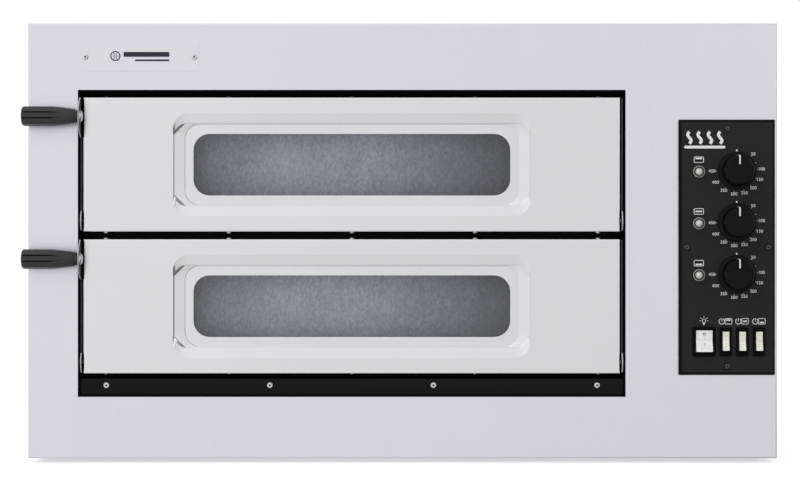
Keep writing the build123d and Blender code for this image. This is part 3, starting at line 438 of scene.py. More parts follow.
def hazy_pane():
    """Inner pane: lighter in the middle and darker towards the ends as a painted reflection, with a film
    streaked up and down.
    """
    low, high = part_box("upper_door_glass")
    half = (high.x - low.x) / 2
    surface = Finish("hazed_reflection_pane", specular_ior_level=0.5)
    # painted reflection: lightest a little left of the middle, darker towards both ends
    lightest_x = middle("upper_door_glass").x - 35 * MM
    away = surface.math("ABSOLUTE", surface.math("SUBTRACT", surface.axis("X"), lightest_x))
    streaks = surface.noise(420, (1, 1, 0.6), 5.0, 0.72)
    cloud = surface.noise(26, (1, 1, 1.6), 4.0, 0.6)
    reflection_fade = surface.span(away, 0.05, half, 0, 1)
    base = surface.mix(reflection_fade, tone(207, 206, 215), tone(118, 117, 124))
    base = surface.mix(1.0, base, surface.span(streaks, 0.28, 0.72, 0.62, 1.34), "MULTIPLY")
    surface.colour(surface.mix(1.0, base, surface.span(cloud, 0.3, 0.7, 0.88, 1.1), "MULTIPLY"))
    surface.rough(surface.span(cloud, 0.3, 0.7, 0.35, 0.55))
    surface.relief(streaks, 3e-5)
    return surface


def grip_plastic():
    """Phenolic handle: dark grey, satin, with flow lines along the grip."""
    surface = moulded("phenolic_grip", tone(19, 18, 22), 0.25, 1100, 4e-6, 0.12, specular_ior_level=0.7)
    flow = surface.noise(160, (0.06, 1, 1), 4.0)
    surface.relief(flow, 3e-5)
    return surface


def black_fastener():
    """Blackened screws: the flat of the head grey as a painted highlight, the rounded rim near black as
    painted shade.
    """
    surface = moulded("black_oxide", tone(66, 66, 68), 0.3, 900, 6e-6, 0.3, specular_ior_level=0.4)
    # rim faces turned away from the front painted near black: painted shade; the grey flat is a painted
    # highlight
    rim = surface.span(surface.facing("Y"), 0.995, 0.90, 0.0, 1.0)
    grain = surface.noise(700, (1, 1, 1), 4.0)
    surface.overlay(rim, surface.mix(grain, tone(2, 2, 2), tone(10, 10, 10)))
    return surface


def pilot_rim():
    """Smoked bezel: light grey on its rim, with painted shade, dark, in the trough round the lens."""
    surface = moulded("smoked_rim", tone(150, 150, 152), 0.3, 900, 5e-6, 0.12)
    # parts set back into the trough round the lens painted dark: painted shade
    trough_shade_mask = surface.span(surface.axis("Y"), panel_y - 2.6 * MM, panel_y - 1.8 * MM, 0.0, 1.0)
    grain = surface.noise(500, (1, 1, 1), 4.0)
    surface.overlay(trough_shade_mask, surface.mix(grain, tone(44, 44, 45), tone(82, 82, 84)))
    return surface


def pilot_lens():
    """Unlit neon lens: milky, with a faint amber depth."""
    surface = moulded("pilot_lens", tone(196, 194, 188), 0.25, 500, 2e-5, 0.08, coat_weight=0.5)
    surface.shader.inputs["Transmission Weight"].default_value = 0.15
    return surface


def translucent(name, first, second):
    """Milky switch rocker that lets some light through."""
    surface = Finish(name, coat_weight=0.25)
    cloud = surface.noise(260, (1, 1, 0.4), 5.0, 0.6)
    skin = surface.noise(900, (1, 1, 1), 3.0)
    surface.colour(surface.mix(surface.span(cloud, 0.3, 0.7, 0, 1), first, second))
    surface.rough(surface.span(cloud, 0.3, 0.7, 0.28, 0.42))
    surface.relief(skin, 1.2e-5)
    surface.relief(cloud, 1.5e-4)
    return surface


def studio_floor():
    """Pale studio floor."""
    surface = Finish("studio_floor", specular_ior_level=0.1)
    cloud = surface.noise(1.5, (1, 1, 1), 3.0)
    surface.colour(surface.mix(cloud, (0.90, 0.90, 0.90, 1), (0.93, 0.93, 0.93, 1)))
    surface.rough(surface.span(cloud, 0.3, 0.7, 0.7, 0.8))
    surface.shader.inputs["Emission Color"].default_value = (1, 1, 1, 1)
    surface.shader.inputs["Emission Strength"].default_value = 0.45
    return surface


# slot: name, screen colour, roughness, grain a metre, its stretch, relief in metres, drift, streaks
ROLLED = {
    "stainless": ("stainless_satin", (247, 246, 252), 0.40, 900, (1, 1, 0.03), 5e-7, 0.02),
    "door_steel": ("door_steel_polished", (245, 245, 247), 0.22, 700, (1, 1, 0.02), 4e-8, 0.015, 0.010),
    "fastener_steel": ("zinc_fastener", (226, 226, 227), 0.28, 900, (1, 1, 1), 2e-6, 0.06),
    "copper_tube": ("drawn_copper", (198, 128, 94), 0.34, 700, (1, 1, 1), 3e-6, 0.12),
    "plate_steel": ("nameplate_steel", (246, 246, 251), 0.38, 900, (0.04, 1, 1), 4e-7, 0.015),
}
# slot: name, screen colour, roughness, pebbles a metre, relief in metres, drift, other sockets
MOULDED = {
    "gasket": ("silicone", (42, 42, 44), 0.6, 700, 2e-5, 0.08, {}),
    "gland_plastic": ("nylon_black", (44, 44, 46), 0.45, 900, 2e-5, 0.08, {}),
    "terminal_plastic": ("nylon_natural", (220, 216, 204), 0.45, 700, 2e-5, 0.08, {}),
    "thermostat_body": ("cream_moulding", (214, 208, 192), 0.5, 600, 1.5e-5, 0.08, {}),
    "foot_rubber": ("black_rubber", (34, 34, 34), 0.75, 600, 4e-5, 0.08, {}),
    "lamp_ceramic": ("porcelain", (226, 222, 212), 0.25, 300, 2e-5, 0.03, {"coat_weight": 0.4}),
    "lens_core": ("lens_core", (214, 213, 208), 0.3, 600, 2e-5, 0.1, {"coat_weight": 0.4}),
    "knob_plastic": ("knob_plastic", (5, 5, 5), 0.30, 1700, 4e-6, 0.1, {"specular_ior_level": 0.16}),
    "switch_black": ("switch_body", (5, 5, 5), 0.4, 1300, 1e-5, 0.1, {"specular_ior_level": 0.08}),
    "white_ink": ("white_ink", (236, 236, 236), 0.55, 1500, 6e-6, 0.03, {"specular_ior_level": 0.2}),
    "grey_ink": ("grey_ink", (96, 96, 98), 0.55, 1500, 6e-6, 0.05, {"specular_ior_level": 0.2}),
    "cream_shade": ("cream_shade", (196, 190, 172), 0.5, 1500, 6e-6, 0.06, {"specular_ior_level": 0.2}),
    "dark_ink": ("dark_ink", (52, 52, 64), 0.5, 1500, 6e-6, 0.05, {"specular_ior_level": 0.2}),
}
# slot: darkest and lightest screen colour
TRANSLUCENT = {
    "rocker_white": ((224, 224, 226), (255, 255, 255)),
    # near-white lip on the rockers' low edges: painted highlight
    "rocker_highlight_lip": ((250, 250, 248), (255, 255, 254)),
    "rocker_cream": ((226, 221, 207), (255, 254, 249)),
}
MAKERS = {
    "zinc_sheet": zinc_sheet,
    "black_enamel": black_enamel,
    "bracket": bracket_enamel,
    "panel_black": panel_black,
    "black_fastener": black_fastener,
    "chamber_steel": chamber_steel,
    "refractory": refractory,
    "element_sheath": element_sheath,
    "ceramic_fibre": ceramic_fibre,
    "lamp_glass": lamp_glass,
    "oven_glass": clear_pane,
    "hazed_reflection_pane": hazy_pane,
    "grip_plastic": grip_plastic,
    "pilot_rim": pilot_rim,
    "pilot_lens": pilot_lens,
    "floor": studio_floor,
}


def make_finishes():
    """Every material, by slot or finish name."""
    made = {slot: make() for slot, make in MAKERS.items()}
    # enamel darkened to 0.35: painted shade for the door surround, the divider and the panel screws'
    # recesses
    made["painted_shade_enamel"] = black_enamel("painted_shade_enamel", 0.35, 0.06)
    for slot, (name, shade, *rest) in ROLLED.items():
        made[slot] = rolled_metal(name, tone(*shade), *rest)
    for slot, (name, shade, *rest, sockets) in MOULDED.items():
        made[slot] = moulded(name, tone(*shade), *rest, **sockets)
    for slot, (dark, light) in TRANSLUCENT.items():
        made[slot] = translucent(slot, tone(*dark), tone(*light))
    return {slot: surface.material for slot, surface in made.items()}


finishes = make_finishes()


def dress(node, finish):
    """Give a CAD node its material."""
    mesh = frame["nodes"][node].data
    mesh.materials.clear()
    mesh.materials.append(finishes[finish])


# nodes whose finish differs from their slot's
NODE_FINISHES = {
    "upper_door_side_brackets": "bracket",
    "lower_door_side_brackets": "bracket",
    # surround and divider, in the gaps round the doors, get enamel darkened as painted shade
    "door_surround": "painted_shade_enamel",
    "door_divider": "painted_shade_enamel",
}
for subpart in frame["record"]["subparts"]:
    dress(subpart["node"], NODE_FINISHES.get(subpart["node"], subpart["material_slot"]))


# ---- mesh helpers --------------------------------------------------------------------
def piece(name, mesh, finish, body, smooth=None):
    """Mesh as a piece that rides on a body, with its finish."""
    bm = bmesh.new()
    bm.from_mesh(mesh)
    bmesh.ops.recalc_face_normals(bm, faces=bm.faces[:])
    bm.to_mesh(mesh)
    bm.free()
    mesh.materials.clear()
    mesh.materials.append(finishes[finish])
    made = bpy.data.objects.new(name, mesh)
    bpy.context.scene.collection.objects.link(made)
    if smooth is not None:
        angle = math.radians(smooth)
        with bpy.context.temp_override(active_object=made, object=made, selected_editable_objects=[made]):
            bpy.ops.object.shade_smooth_by_angle(angle=angle, keep_sharp_edges=False)
    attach(made, body)
    return made


def mesh_of(bm, name):
    """Mesh data from a finished bmesh."""
    mesh = bpy.data.meshes.new(name)
    bm.to_mesh(mesh)
    bm.free()
    return mesh


def lathe(bm, profile, place, steps, shape):
    """Turn (along, radius) points about an axis; the first and last of them lie on it.

    place(along, radius, turn) gives the point, and shape(turn, radius, along) its true radius.
    """
    rings = []
    for along, radius in profile[1:-1]:
        ring = []
        for step in range(steps):
            turn = TURN * step / steps
            ring.append(bm.verts.new(place(along, shape(turn, radius, along), turn)))
        rings.append(ring)
    first = bm.verts.new(place(profile[0][0], 0, 0))
    last = bm.verts.new(place(profile[-1][0], 0, 0))
    for near, far in zip(rings, rings[1:]):
        for step in range(steps):
            after = (step + 1) % steps
            bm.faces.new((near[step], near[after], far[after], far[step]))
    for step in range(steps):
        after = (step + 1) % steps
        bm.faces.new((first, rings[0][after], rings[0][step]))
        bm.faces.new((last, rings[-1][step], rings[-1][after]))


def prism(bm, outline, near, far):
    """Flat outline of (x, z) points between two depths."""
    front = [bm.verts.new((x, near, z)) for x, z in outline]
    back = [bm.verts.new((x, far, z)) for x, z in outline]
    bm.faces.new(front)
    bm.faces.new(list(reversed(back)))
    for index in range(len(outline)):
        after = (index + 1) % len(outline)
        bm.faces.new((front[index], back[index], back[after], front[after]))


def bridge(bm, rows):
    """Skin between rows of four corners each."""
    for one, two in zip(rows, rows[1:]):
        for side in range(4):
            other = (side + 1) % 4
            bm.faces.new((one[side], one[other], two[other], two[side]))


def cap_ends(bm, rows):
    """Faces on the first and the last row."""
    bm.faces.new(rows[0])
    bm.faces.new(list(reversed(rows[-1])))


def stroke(bm, points, width, near, far, closed=False):
    """Line of that width along (x, z) points, as a thin solid with mitred corners."""
    count = len(points)
    sides = []
    for index, point in enumerate(points):
        here = Vector(point)
        before = Vector(points[index - 1]) if closed or index else None
        after = Vector(points[(index + 1) % count]) if closed or index < count - 1 else None
        runs = []
        if before is not None:
            runs.append((here - before).normalized())
        if after is not None:
            runs.append((after - here).normalized())
        normals = [Vector((-run.y, run.x)) for run in runs]
        across = sum(normals, Vector((0, 0))).normalized()
        reach = width / 2 / max(0.4, across.dot(normals[0]))
        sides.append((here + across * reach, here - across * reach))
    verts = []
    for left, right in sides:
        verts.append([
            bm.verts.new((left.x, near, left.y)),
            bm.verts.new((right.x, near, right.y)),
            bm.verts.new((right.x, far, right.y)),
            bm.verts.new((left.x, far, left.y)),
        ])
    if closed:
        bridge(bm, verts + verts[:1])
    else:
        bridge(bm, verts)
        cap_ends(bm, verts)


def around(x, z, radius, degrees):
    """Point at that radius from (x, z), in degrees clockwise from 12 o'clock."""
    angle = math.radians(degrees)
    return (x + radius * math.sin(angle), z + radius * math.cos(angle))


def circle(x, z, radius, steps=28, start=0.0, end=360.0):
    """(x, z) points round a circle, clockwise from 12 o'clock."""
    full = end - start >= 360
    count = steps if full else steps + 1
    return [around(x, z, radius, start + (end - start) * step / steps) for step in range(count)]


def spoke(bm, centre, degrees, inner, outer, width, near, far):
    """Line that points away from a centre, between two radii."""
    ends = [around(*centre, radius, degrees) for radius in (inner, outer)]
    stroke(bm, ends, width, near, far)


def round_box(x, z, width, height, radius, steps=5):
    """(x, z) points of a rounded rectangle."""
    points = []
    for corner, (side_x, side_z) in enumerate(((1, 1), (1, -1), (-1, -1), (-1, 1))):
        centre_x = x + side_x * (width / 2 - radius)
        centre_z = z + side_z * (height / 2 - radius)
        for step in range(steps + 1):
            points.append(around(centre_x, centre_z, radius, 90 * (corner + step / steps)))
    return points


def offsets(origin, points):
    """Points (along, radius) from pairs in millimetres, with along counted from the origin."""
    return [(origin + along * MM, radius * MM) for along, radius in points]


def turned_about(centre_x, centre_z):
    """Place function for a lathe whose axis runs front to back."""

    def place(along, radius, turn):
        return (centre_x + radius * math.sin(turn), along, centre_z + radius * math.cos(turn))

    return place


def lettering(bm, text, x, z, size, near, thick):
    """Digits as thin solids, centred on (x, z)."""
    curve = bpy.data.curves.new("digits", "FONT")
    curve.body = text
    curve.size = size
    curve.align_x = "CENTER"
    curve.align_y = "CENTER"
    curve.extrude = thick / 2
    curve.offset = size * 0.006
    curve.space_character = 1.06
    holder = bpy.data.objects.new("digits", curve)
    bpy.context.scene.collection.objects.link(holder)
    bpy.context.view_layer.update()
    seen = holder.evaluated_get(bpy.context.evaluated_depsgraph_get())
    mesh = bpy.data.meshes.new_from_object(seen)
    mesh.transform(Matrix.Translation((x, near, z)) @ Matrix.Rotation(math.radians(90), 4, "X"))
    bm.from_mesh(mesh)
    bpy.data.objects.remove(holder)
    bpy.data.meshes.remove(mesh)
    bpy.data.curves.remove(curve)


# ---- control panel prints ------------------------------------------------------------
INK = 0.05 * MM
ink_near = panel_y - INK
ink_far = panel_y + 0.02 * MM
SCALE_RADIUS = 24.9 * MM
TICK = 1.1 * MM
PIZZA_HEAT = 67
# temperature: degrees clockwise from 12 o'clock
SCALE = {50: 45, 100: 86, 150: 112, 200: 137, 250: 161, 300: 187, 350: 213, 400: 240, 450: 269}
DIGIT_SIZE = 5.3 * MM
HEATER_BARS = {"top": 1, "middle": 0, "bottom": -1}


def heater_icon(bm, x, z, width, height, bar, line):
    """Oven outline with a thick bar at its top, middle or bottom."""
    stroke(bm, round_box(x, z, width, height, 1.2 * MM), line, ink_near, ink_far, closed=True)
    bar_z = z + bar * (height / 2 - 1.9 * MM)
    prism(bm, round_box(x, bar_z, width - 3.2 * MM, 1.7 * MM, 0.3 * MM, 2), ink_near, ink_far)


def make_scales():
    """Temperature scales round the knobs, with a dot at off and a small dot at pizza heat."""
    bm = bmesh.new()
    for name in KNOBS:
        knob = middle(f"{name}_knob")
        x, z = knob.x, knob.z
        prism(bm, circle(x, z + SCALE_RADIUS, 1.15 * MM), ink_near, ink_far)
        small_dot = around(x, z, SCALE_RADIUS, PIZZA_HEAT)
        prism(bm, circle(*small_dot, 0.45 * MM, 12), ink_near, ink_far)
        reach = SCALE_RADIUS + TICK
        for value, degrees in SCALE.items():
            spoke(bm, (x, z), degrees, SCALE_RADIUS - 0.2 * MM, reach, 0.5 * MM, ink_near, ink_far)
            half_wide = (1.1 if value < 100 else 1.6) * DIGIT_SIZE / 2
            right, up = around(0, 0, 1, degrees)
            label_x = x + right * (reach + half_wide * abs(right) ** 0.5)
            label_z = z + up * (reach + DIGIT_SIZE / 2)
            lettering(bm, str(value), label_x, label_z, DIGIT_SIZE, panel_y - INK / 2, INK)
    piece("knob_scales", mesh_of(bm, "knob_scales"), "white_ink", "casing")


def make_lamp_icons():
    """Oven with the heater that each pilot lamp belongs to, above the lamp."""
    bm = bmesh.new()
    lamp_x = middle("pilot_bezels").x
    for name in KNOBS:
        z = middle(f"{name}_knob").z + 13.4 * MM
        heater_icon(bm, lamp_x, z, 11.4 * MM, 6.8 * MM, HEATER_BARS[name], 0.7 * MM)
    piece("lamp_icons", mesh_of(bm, "lamp_icons"), "white_ink", "casing")


def make_switch_icons():
    """Light bulb with rays, and on-off sign with an oven, above the switches."""
    bm = bmesh.new()
    icon_z = middle("light_rocker").z + 24.4 * MM
    x = middle("light_rocker").x
    line = 0.55 * MM
    bulb_z = icon_z + 0.7 * MM
    stroke(bm, circle(x, bulb_z, 2.2 * MM, 24, -145, 145), line, ink_near, ink_far)
    half_neck = ((1.35, 1.9), (1.1, 3.0), (0.7, 4.9))
    neck = [(x - half * MM, bulb_z - drop * MM) for half, drop in half_neck]
    neck += [(x + half * MM, bulb_z - drop * MM) for half, drop in reversed(half_neck)]
    prism(bm, neck, ink_near, ink_far)
    for degrees in (-90, -50, 0, 50, 90):
        spoke(bm, (x, bulb_z), degrees, 3.7 * MM, 5.3 * MM, line, ink_near, ink_far)
    for name in KNOBS:
        x = middle(f"{name}_rocker").x
        sign_x = x - 4.5 * MM
        stroke(bm, circle(sign_x, icon_z, 3.4 * MM, 32, 28, 332), 0.75 * MM, ink_near, ink_far)
        upright = [(sign_x, icon_z + 3.7 * MM), (sign_x, icon_z - 0.2 * MM)]
        stroke(bm, upright, 0.7 * MM, ink_near, ink_far)
        heater_icon(bm, x + 3.6 * MM, icon_z, 8.2 * MM, 6.8 * MM, HEATER_BARS[name], 0.65 * MM)
    piece("switch_icons", mesh_of(bm, "switch_icons"), "white_ink", "casing")


def make_heat_sign():
    """Generic sign for a hot appliance: four rising waves over a bar."""
    bm = bmesh.new()
    left = panel_low.x + 5.0 * MM
    low = middle("top_knob").z + 33.0 * MM
    waves, pitch, swing, rise, steps = 4, 12.5 * MM, 2.1 * MM, 14.5 * MM, 16
    for wave in range(waves):
        x = left + 7.5 * MM + wave * pitch
        shares = [step / steps for step in range(steps + 1)]
        points = [(x + swing * math.sin(TURN * share), low + share * rise) for share in shares]
        stroke(bm, points, 3.6 * MM, ink_near, ink_far)
    bar_x = left + 26.2 * MM
    prism(bm, round_box(bar_x, low - 4.2 * MM, 50.0 * MM, 3.4 * MM, 1.6 * MM, 4), ink_near, ink_far)
    piece("heat_sign", mesh_of(bm, "heat_sign"), "white_ink", "casing")


def make_lens_cores():
    """Bright domed middle of each pilot lens, with twelve shallow facets."""
    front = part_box("pilot_lenses")[0].y - 0.7 * MM
    bezels = middle("pilot_bezels")
    facets, facet_depth = 12, 0.05

    def shape(turn, radius, along):
        return radius * (1 - facet_depth * (1 + math.cos(facets * turn)) / 2)

    points = ((0, 0), (0.02, 1.2), (0.25, 2.4), (0.75, 3.3), (1.5, 3.8), (2.2, 3.7), (2.2, 0))
    bm = bmesh.new()
    for name in KNOBS:
        z = bezels.z + middle(f"{name}_knob").z - middle("middle_knob").z
        lathe(bm, offsets(front, points), turned_about(bezels.x, z), 72, shape)
    piece("pilot_lens_cores", mesh_of(bm, "pilot_lens_cores"), "lens_core", "casing", 60)


make_scales()
make_lamp_icons()
make_lens_cores()
make_switch_icons()
make_heat_sign()


# ---- nameplate print -----------------------------------------------------------------
def make_plate_sign():
    """Generic pizza sign: a round with six slices beside two rules."""
    bm = bmesh.new()
    near, far = plate_low.y - INK, plate_low.y + 0.02 * MM
    centre = middle("nameplate")
    round_x, z = centre.x - 30.5 * MM, centre.z + 1.2 * MM
    stroke(bm, circle(round_x, z, 5.6 * MM, 40), 1.3 * MM, near, far, closed=True)
    for degrees in range(30, 360, 60):
        spoke(bm, (round_x, z), degrees, 0.9 * MM, 5.1 * MM, 0.8 * MM, near, far)
    right = centre.x + 35.5 * MM
    top_rule, low_rule = 56.0 * MM, 42.0 * MM
    prism(bm, round_box(right - top_rule / 2, z + 2.0 * MM, top_rule, 6.0 * MM, 1.0 * MM), near, far)
    prism(bm, round_box(right - low_rule / 2, z - 5.2 * MM, low_rule, 2.2 * MM, 0.6 * MM), near, far)
    piece("plate_sign", mesh_of(bm, "plate_sign"), "dark_ink", "casing")


make_plate_sign()


# ---- screw heads ---------------------------------------------------------------------
DRIVE = 2.6 * MM  # measure that the recess and its ring are drawn from


def make_screw_recesses(node, places, finish, glint_finish):
    """Six-lobed drive recess as a dark disc on each head of a group of screws, painted shade, with a ring
    round it as a painted highlight.
    """
    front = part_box(node)[0].y
    recess_shades, rings = bmesh.new(), bmesh.new()
    lobes, steps = 6, 48
    for x, z in places:
        outline = []
        for step in range(steps):
            swell = 0.05 * math.cos(lobes * TURN * step / steps)
            outline.append(around(x, z, DRIVE * (0.42 + swell), 360 * step / steps))
        # dark disc laid on the head where the drive recess is: painted shade
        prism(recess_shades, outline, front - 0.06 * MM, front + 0.1 * MM)
        # ring round the recess in a lighter finish: painted highlight
        ring = circle(x, z, DRIVE * 0.62, 32)
        stroke(rings, ring, DRIVE * 0.2, front - 0.04 * MM, front + 0.3 * MM, closed=True)
    piece(f"{node}_recesses", mesh_of(recess_shades, "recess_shades"), finish, "casing")
    piece(f"{node}_rings", mesh_of(rings, "rings"), glint_finish, "casing")


def row_of(node, count):
    """Centres of equally spaced heads along a node's box."""
    low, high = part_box(node)
    half = (high.z - low.z) / 2
    span = high.x - low.x - 2 * half
    return [(low.x + half + span * step / (count - 1), low.z + half) for step in range(count)]


def make_fasteners():
    """Painted-shade recesses and painted-highlight rings on the panel, sill and nameplate screws."""
    low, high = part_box("panel_screws")
    head = 3.9 * MM
    across = (low.x + high.x) / 2
    side_z = middle("control_panel").z
    places = [(across, high.z - head), (across, low.z + head)]
    places += [(low.x + head, side_z), (high.x - head, side_z)]
    make_screw_recesses("panel_screws", places, "painted_shade_enamel", "grey_ink")
    for node, count in (("sill_screws", 4), ("nameplate_screws", 2)):
        make_screw_recesses(node, row_of(node, count), "black_enamel", "fastener_steel")


make_fasteners()


# ---- knobs ---------------------------------------------------------------------------
def make_knob(name):
    """Skirted knob with a finely fluted side, rounded front edge and its shaft."""
    low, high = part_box(f"{name}_knob")
    centre = (low + high) / 2
    skirt = high.x - centre.x
    front, back = low.y, panel_y - 0.6 * MM
    cap, shaft = 19.0 * MM, 3.0 * MM
    flutes, flute_depth = 48, 0.22 * MM

    def shape(turn, radius, along):
        on_side = radius > cap - 1.6 * MM and front + 2.6 * MM < along < back - 3.4 * MM
        return radius - flute_depth * (1 + math.cos(flutes * turn)) / 2 if on_side else radius

    face = ((0.35, 0), (0.3, 6), (0.12, 12), (0, 16.2))
    nose = ((0.15, 16.7), (0.5, 17.1), (2.0, 17.9), (2.5, 18.15), (2.9, 18.3))
    profile = offsets(front, face + nose)
    profile += [(back - 4.0 * MM, cap - 0.1 * MM), (back - 3.5 * MM, cap)]
    profile += [(back - 3.1 * MM, cap + 0.5 * MM), (back - 3.0 * MM, skirt - 1.5 * MM)]
    profile += [(back - 2.7 * MM, skirt - 0.7 * MM), (back - 2.0 * MM, skirt - 0.15 * MM)]
    profile += [(back - 1.3 * MM, skirt), (back - 0.3 * MM, skirt), (back, skirt - 0.3 * MM)]
    profile += [(back, shaft), (high.y, shaft), (high.y, 0)]
    body = f"{name}_knob"
    bm = bmesh.new()
    lathe(bm, profile, turned_about(centre.x, centre.z), 192, shape)
    knob = piece(f"{name}_knob_moulding", mesh_of(bm, "knob"), "knob_plastic", body, 40)
    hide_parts(body)
    # pointer: raised white line over the front edge
    over = ((0.24, 7.4), (0.12, 12.0), (0.02, 16.0), (0.15, 16.7), (0.5, 17.1), (2.0, 17.9), (2.9, 18.3))
    path = offsets(front, over) + [(back - 4.2 * MM, cap - 0.1 * MM)]
    half, proud, sunk = 0.85 * MM, 0.12 * MM, -0.3 * MM
    bm = bmesh.new()
    rows = []
    for index, (along, radius) in enumerate(path):
        before = Vector(path[max(0, index - 1)])
        after = Vector(path[min(len(path) - 1, index + 1)])
        run = (after - before).normalized()
        row = []
        for side, lift in ((-half, proud), (half, proud), (half, sunk), (-half, sunk)):
            y = along - run.y * lift
            z = centre.z + radius + run.x * lift
            row.append(bm.verts.new((centre.x + side, y, z)))
        rows.append(row)
    bridge(bm, rows)
    cap_ends(bm, rows)
    piece(f"{name}_knob_pointer", mesh_of(bm, "pointer"), "white_ink", body)


for knob_name in KNOBS:
    make_knob(knob_name)


# ---- door handles --------------------------------------------------------------------
def make_grip(door):
    """Grip with ten shallow facets parted by grooves, a domed tip and a stepped neck."""
    low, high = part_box(f"{door}_door_handle_grip")
    bolt = middle(f"{door}_door_handle_bolt")
    tip, neck = low.x, high.x
    axis_y, axis_z = bolt.y, bolt.z
    widest = (high.z - low.z) / 2
    facets = 10
    first_groove = math.radians(22)
    groove_depth, groove_width, sunk = 2.0 * MM, 0.14, 0.55 * MM

    def place(along, radius, turn):
        return (along, axis_y - radius * math.cos(turn), axis_z + radius * math.sin(turn))

    def shape(turn, radius, along):
        neck_share = min(1.0, max(0.0, (neck - 9 * MM - along) / (30 * MM)))
        tip_share = min(1.0, max(0.0, (along - tip) / (2.5 * MM)))
        phase = ((turn - first_groove) * facets / TURN) % 1.0
        groove = groove_depth * max(0.0, 1 - min(phase, 1 - phase) / groove_width)
        flat = widest * (1 / max(math.cos(math.pi / facets * (2 * phase - 1)), 0.9) - 1)
        return radius - (groove + sunk - flat) * neck_share * tip_share

    profile = offsets(tip, ((0, 0), (0.1, 4), (0.4, 8)))
    for along, inset in ((0.9, 1.9), (1.5, 0.9), (2.4, 0.3)):
        profile.append((tip + along * MM, widest - inset * MM))
    for step in range(9):
        profile.append((tip + (3.6 + 4.0 * step) * MM, widest))
    taper_start, taper_end, thinnest = tip + 36 * MM, neck - 4.6 * MM, 8.75 * MM
    for step in range(1, 11):
        share = step / 10
        along = taper_start + share * (taper_end - taper_start)
        profile.append((along, widest - (widest - thinnest) * (0.55 * share + 0.45 * share**2)))
    profile += offsets(neck, ((-4.5, 8.3), (-4.4, 7.5), (-0.5, 7.4), (-0.1, 7.0), (-0.1, 0)))
    bm = bmesh.new()
    lathe(bm, profile, place, 240, shape)
    mesh = mesh_of(bm, "grip")
    grip = piece(f"{door}_door_grip", mesh, "grip_plastic", f"{door}_door", 50)
    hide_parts(f"{door}_door_handle_grip")


# ---- door panes ----------------------------------------------------------------------
def make_panes(door):
    """Clear outer pane and hazed inner pane with a painted reflection, each with ground edges."""
    low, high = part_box(f"{door}_door_glass")
    centre = (low + high) / 2
    thick = 4.0 * MM
    depths = {"outer_pane": (low.y, "oven_glass"), "inner_pane": (high.y - thick, "hazed_reflection_pane")}
    for name, (near, finish) in depths.items():
        bm = bmesh.new()
        outline = round_box(centre.x, centre.z, high.x - low.x, high.z - low.z, 14 * MM, 8)
        prism(bm, outline, near, near + thick)
        edges = [e for e in bm.edges if abs(e.verts[0].co.y - e.verts[1].co.y) < 1e-7]
        bmesh.ops.bevel(bm, geom=edges, offset=0.6 * MM, segments=2, affect="EDGES")
        mesh = mesh_of(bm, name)
        piece(f"{door}_door_{name}", mesh, finish, f"{door}_door", 30)
    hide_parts(f"{door}_door_glass")


for door_name in DOORS:
    make_grip(door_name)
    make_panes(door_name)


# ---- rocker marks --------------------------------------------------------------------
def on_rocker(node, x, z):
    """Depth of a rocker's front at (x, z), by a ray from in front."""
    rocker = frame["nodes"][node]
    back = rocker.matrix_world.inverted()
    start = back @ Vector((x, fascia_y - 100 * MM, z))
    along = (back.to_3x3() @ Vector((0, 1, 0))).normalized()
    hit, point, _, _ = rocker.ray_cast(start, along)
    return (rocker.matrix_world @ point).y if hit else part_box(node)[0].y


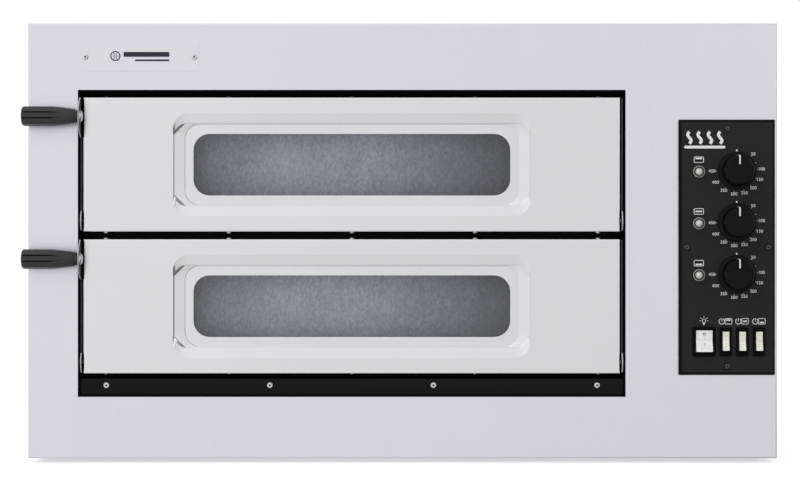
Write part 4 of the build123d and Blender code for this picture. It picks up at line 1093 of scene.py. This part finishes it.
def make_rocker_marks():
    """Off ring and on bar, moulded into the light rocker, and a bar on each narrow one."""
    low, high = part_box("light_rocker")
    centre = (low + high) / 2
    half = (high.z - low.z) / 2
    bm = bmesh.new()
    ring_z = centre.z + half * 0.70
    near = on_rocker("light_rocker", centre.x, ring_z)
    ring = circle(centre.x, ring_z, 1.5 * MM, 24)
    stroke(bm, ring, 0.55 * MM, near - 0.3 * MM, near + 0.5 * MM, closed=True)
    bar = [(centre.x + 0.6 * MM, centre.z - half * step) for step in (0.16, 0.28, 0.40)]
    for one, two in zip(bar, bar[1:]):
        near = on_rocker("light_rocker", one[0], (one[1] + two[1]) / 2)
        stroke(bm, [one, two], 0.9 * MM, near - 0.15 * MM, near + 0.5 * MM)
    mesh = mesh_of(bm, "light_rocker_marks")
    piece("light_rocker_marks", mesh, "grey_ink", "light_rocker")
    for name in KNOBS:
        low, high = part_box(f"{name}_rocker")
        centre = (low + high) / 2
        bm = bmesh.new()
        for share in (0.62, -0.55):
            z = centre.z + (high.z - low.z) / 2 * share
            near = on_rocker(f"{name}_rocker", centre.x, z)
            bar = [(centre.x, z - 0.9 * MM), (centre.x, z + 0.9 * MM)]
            stroke(bm, bar, 0.5 * MM, near - 0.15 * MM, near + 0.6 * MM)
        mesh = mesh_of(bm, "marks")
        piece(f"{name}_rocker_marks", mesh, "cream_shade", f"{name}_rocker")


make_rocker_marks()


def make_rocker_lips():
    """Rounded lip along the low edge of each rocker, white as a painted highlight."""
    for name in SWITCHES:
        low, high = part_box(f"{name}_rocker")
        centre = (low + high) / 2
        width = high.x - low.x - 2.0 * MM
        z = low.z + 1.9 * MM
        near = on_rocker(f"{name}_rocker", centre.x, z)
        bm = bmesh.new()
        outline = round_box(centre.x, z, width, 2.0 * MM, 0.9 * MM)
        prism(bm, outline, near - 0.25 * MM, near + 1.0 * MM)
        edges = [e for e in bm.edges if max(v.co.y for v in e.verts) < near]
        bmesh.ops.bevel(bm, geom=edges, offset=0.2 * MM, segments=2, affect="EDGES")
        # painted highlight: a white lip where the rocker's low edge catches the light
        piece(f"{name}_rocker_highlight_lip", mesh_of(bm, "lip"), "rocker_highlight_lip", f"{name}_rocker", 40)


make_rocker_lips()


# ---- studio floor --------------------------------------------------------------------
def make_floor():
    """Ground that isn't part of the object."""
    bm = bmesh.new()
    bmesh.ops.create_grid(bm, x_segments=8, y_segments=8, size=9.0)
    floor = bpy.data.objects.new("studio_floor", mesh_of(bm, "studio_floor"))
    floor.data.materials.append(finishes["floor"])
    bpy.context.scene.collection.objects.link(floor)
    floor.visible_glossy = False
    floor.visible_diffuse = False


make_floor()
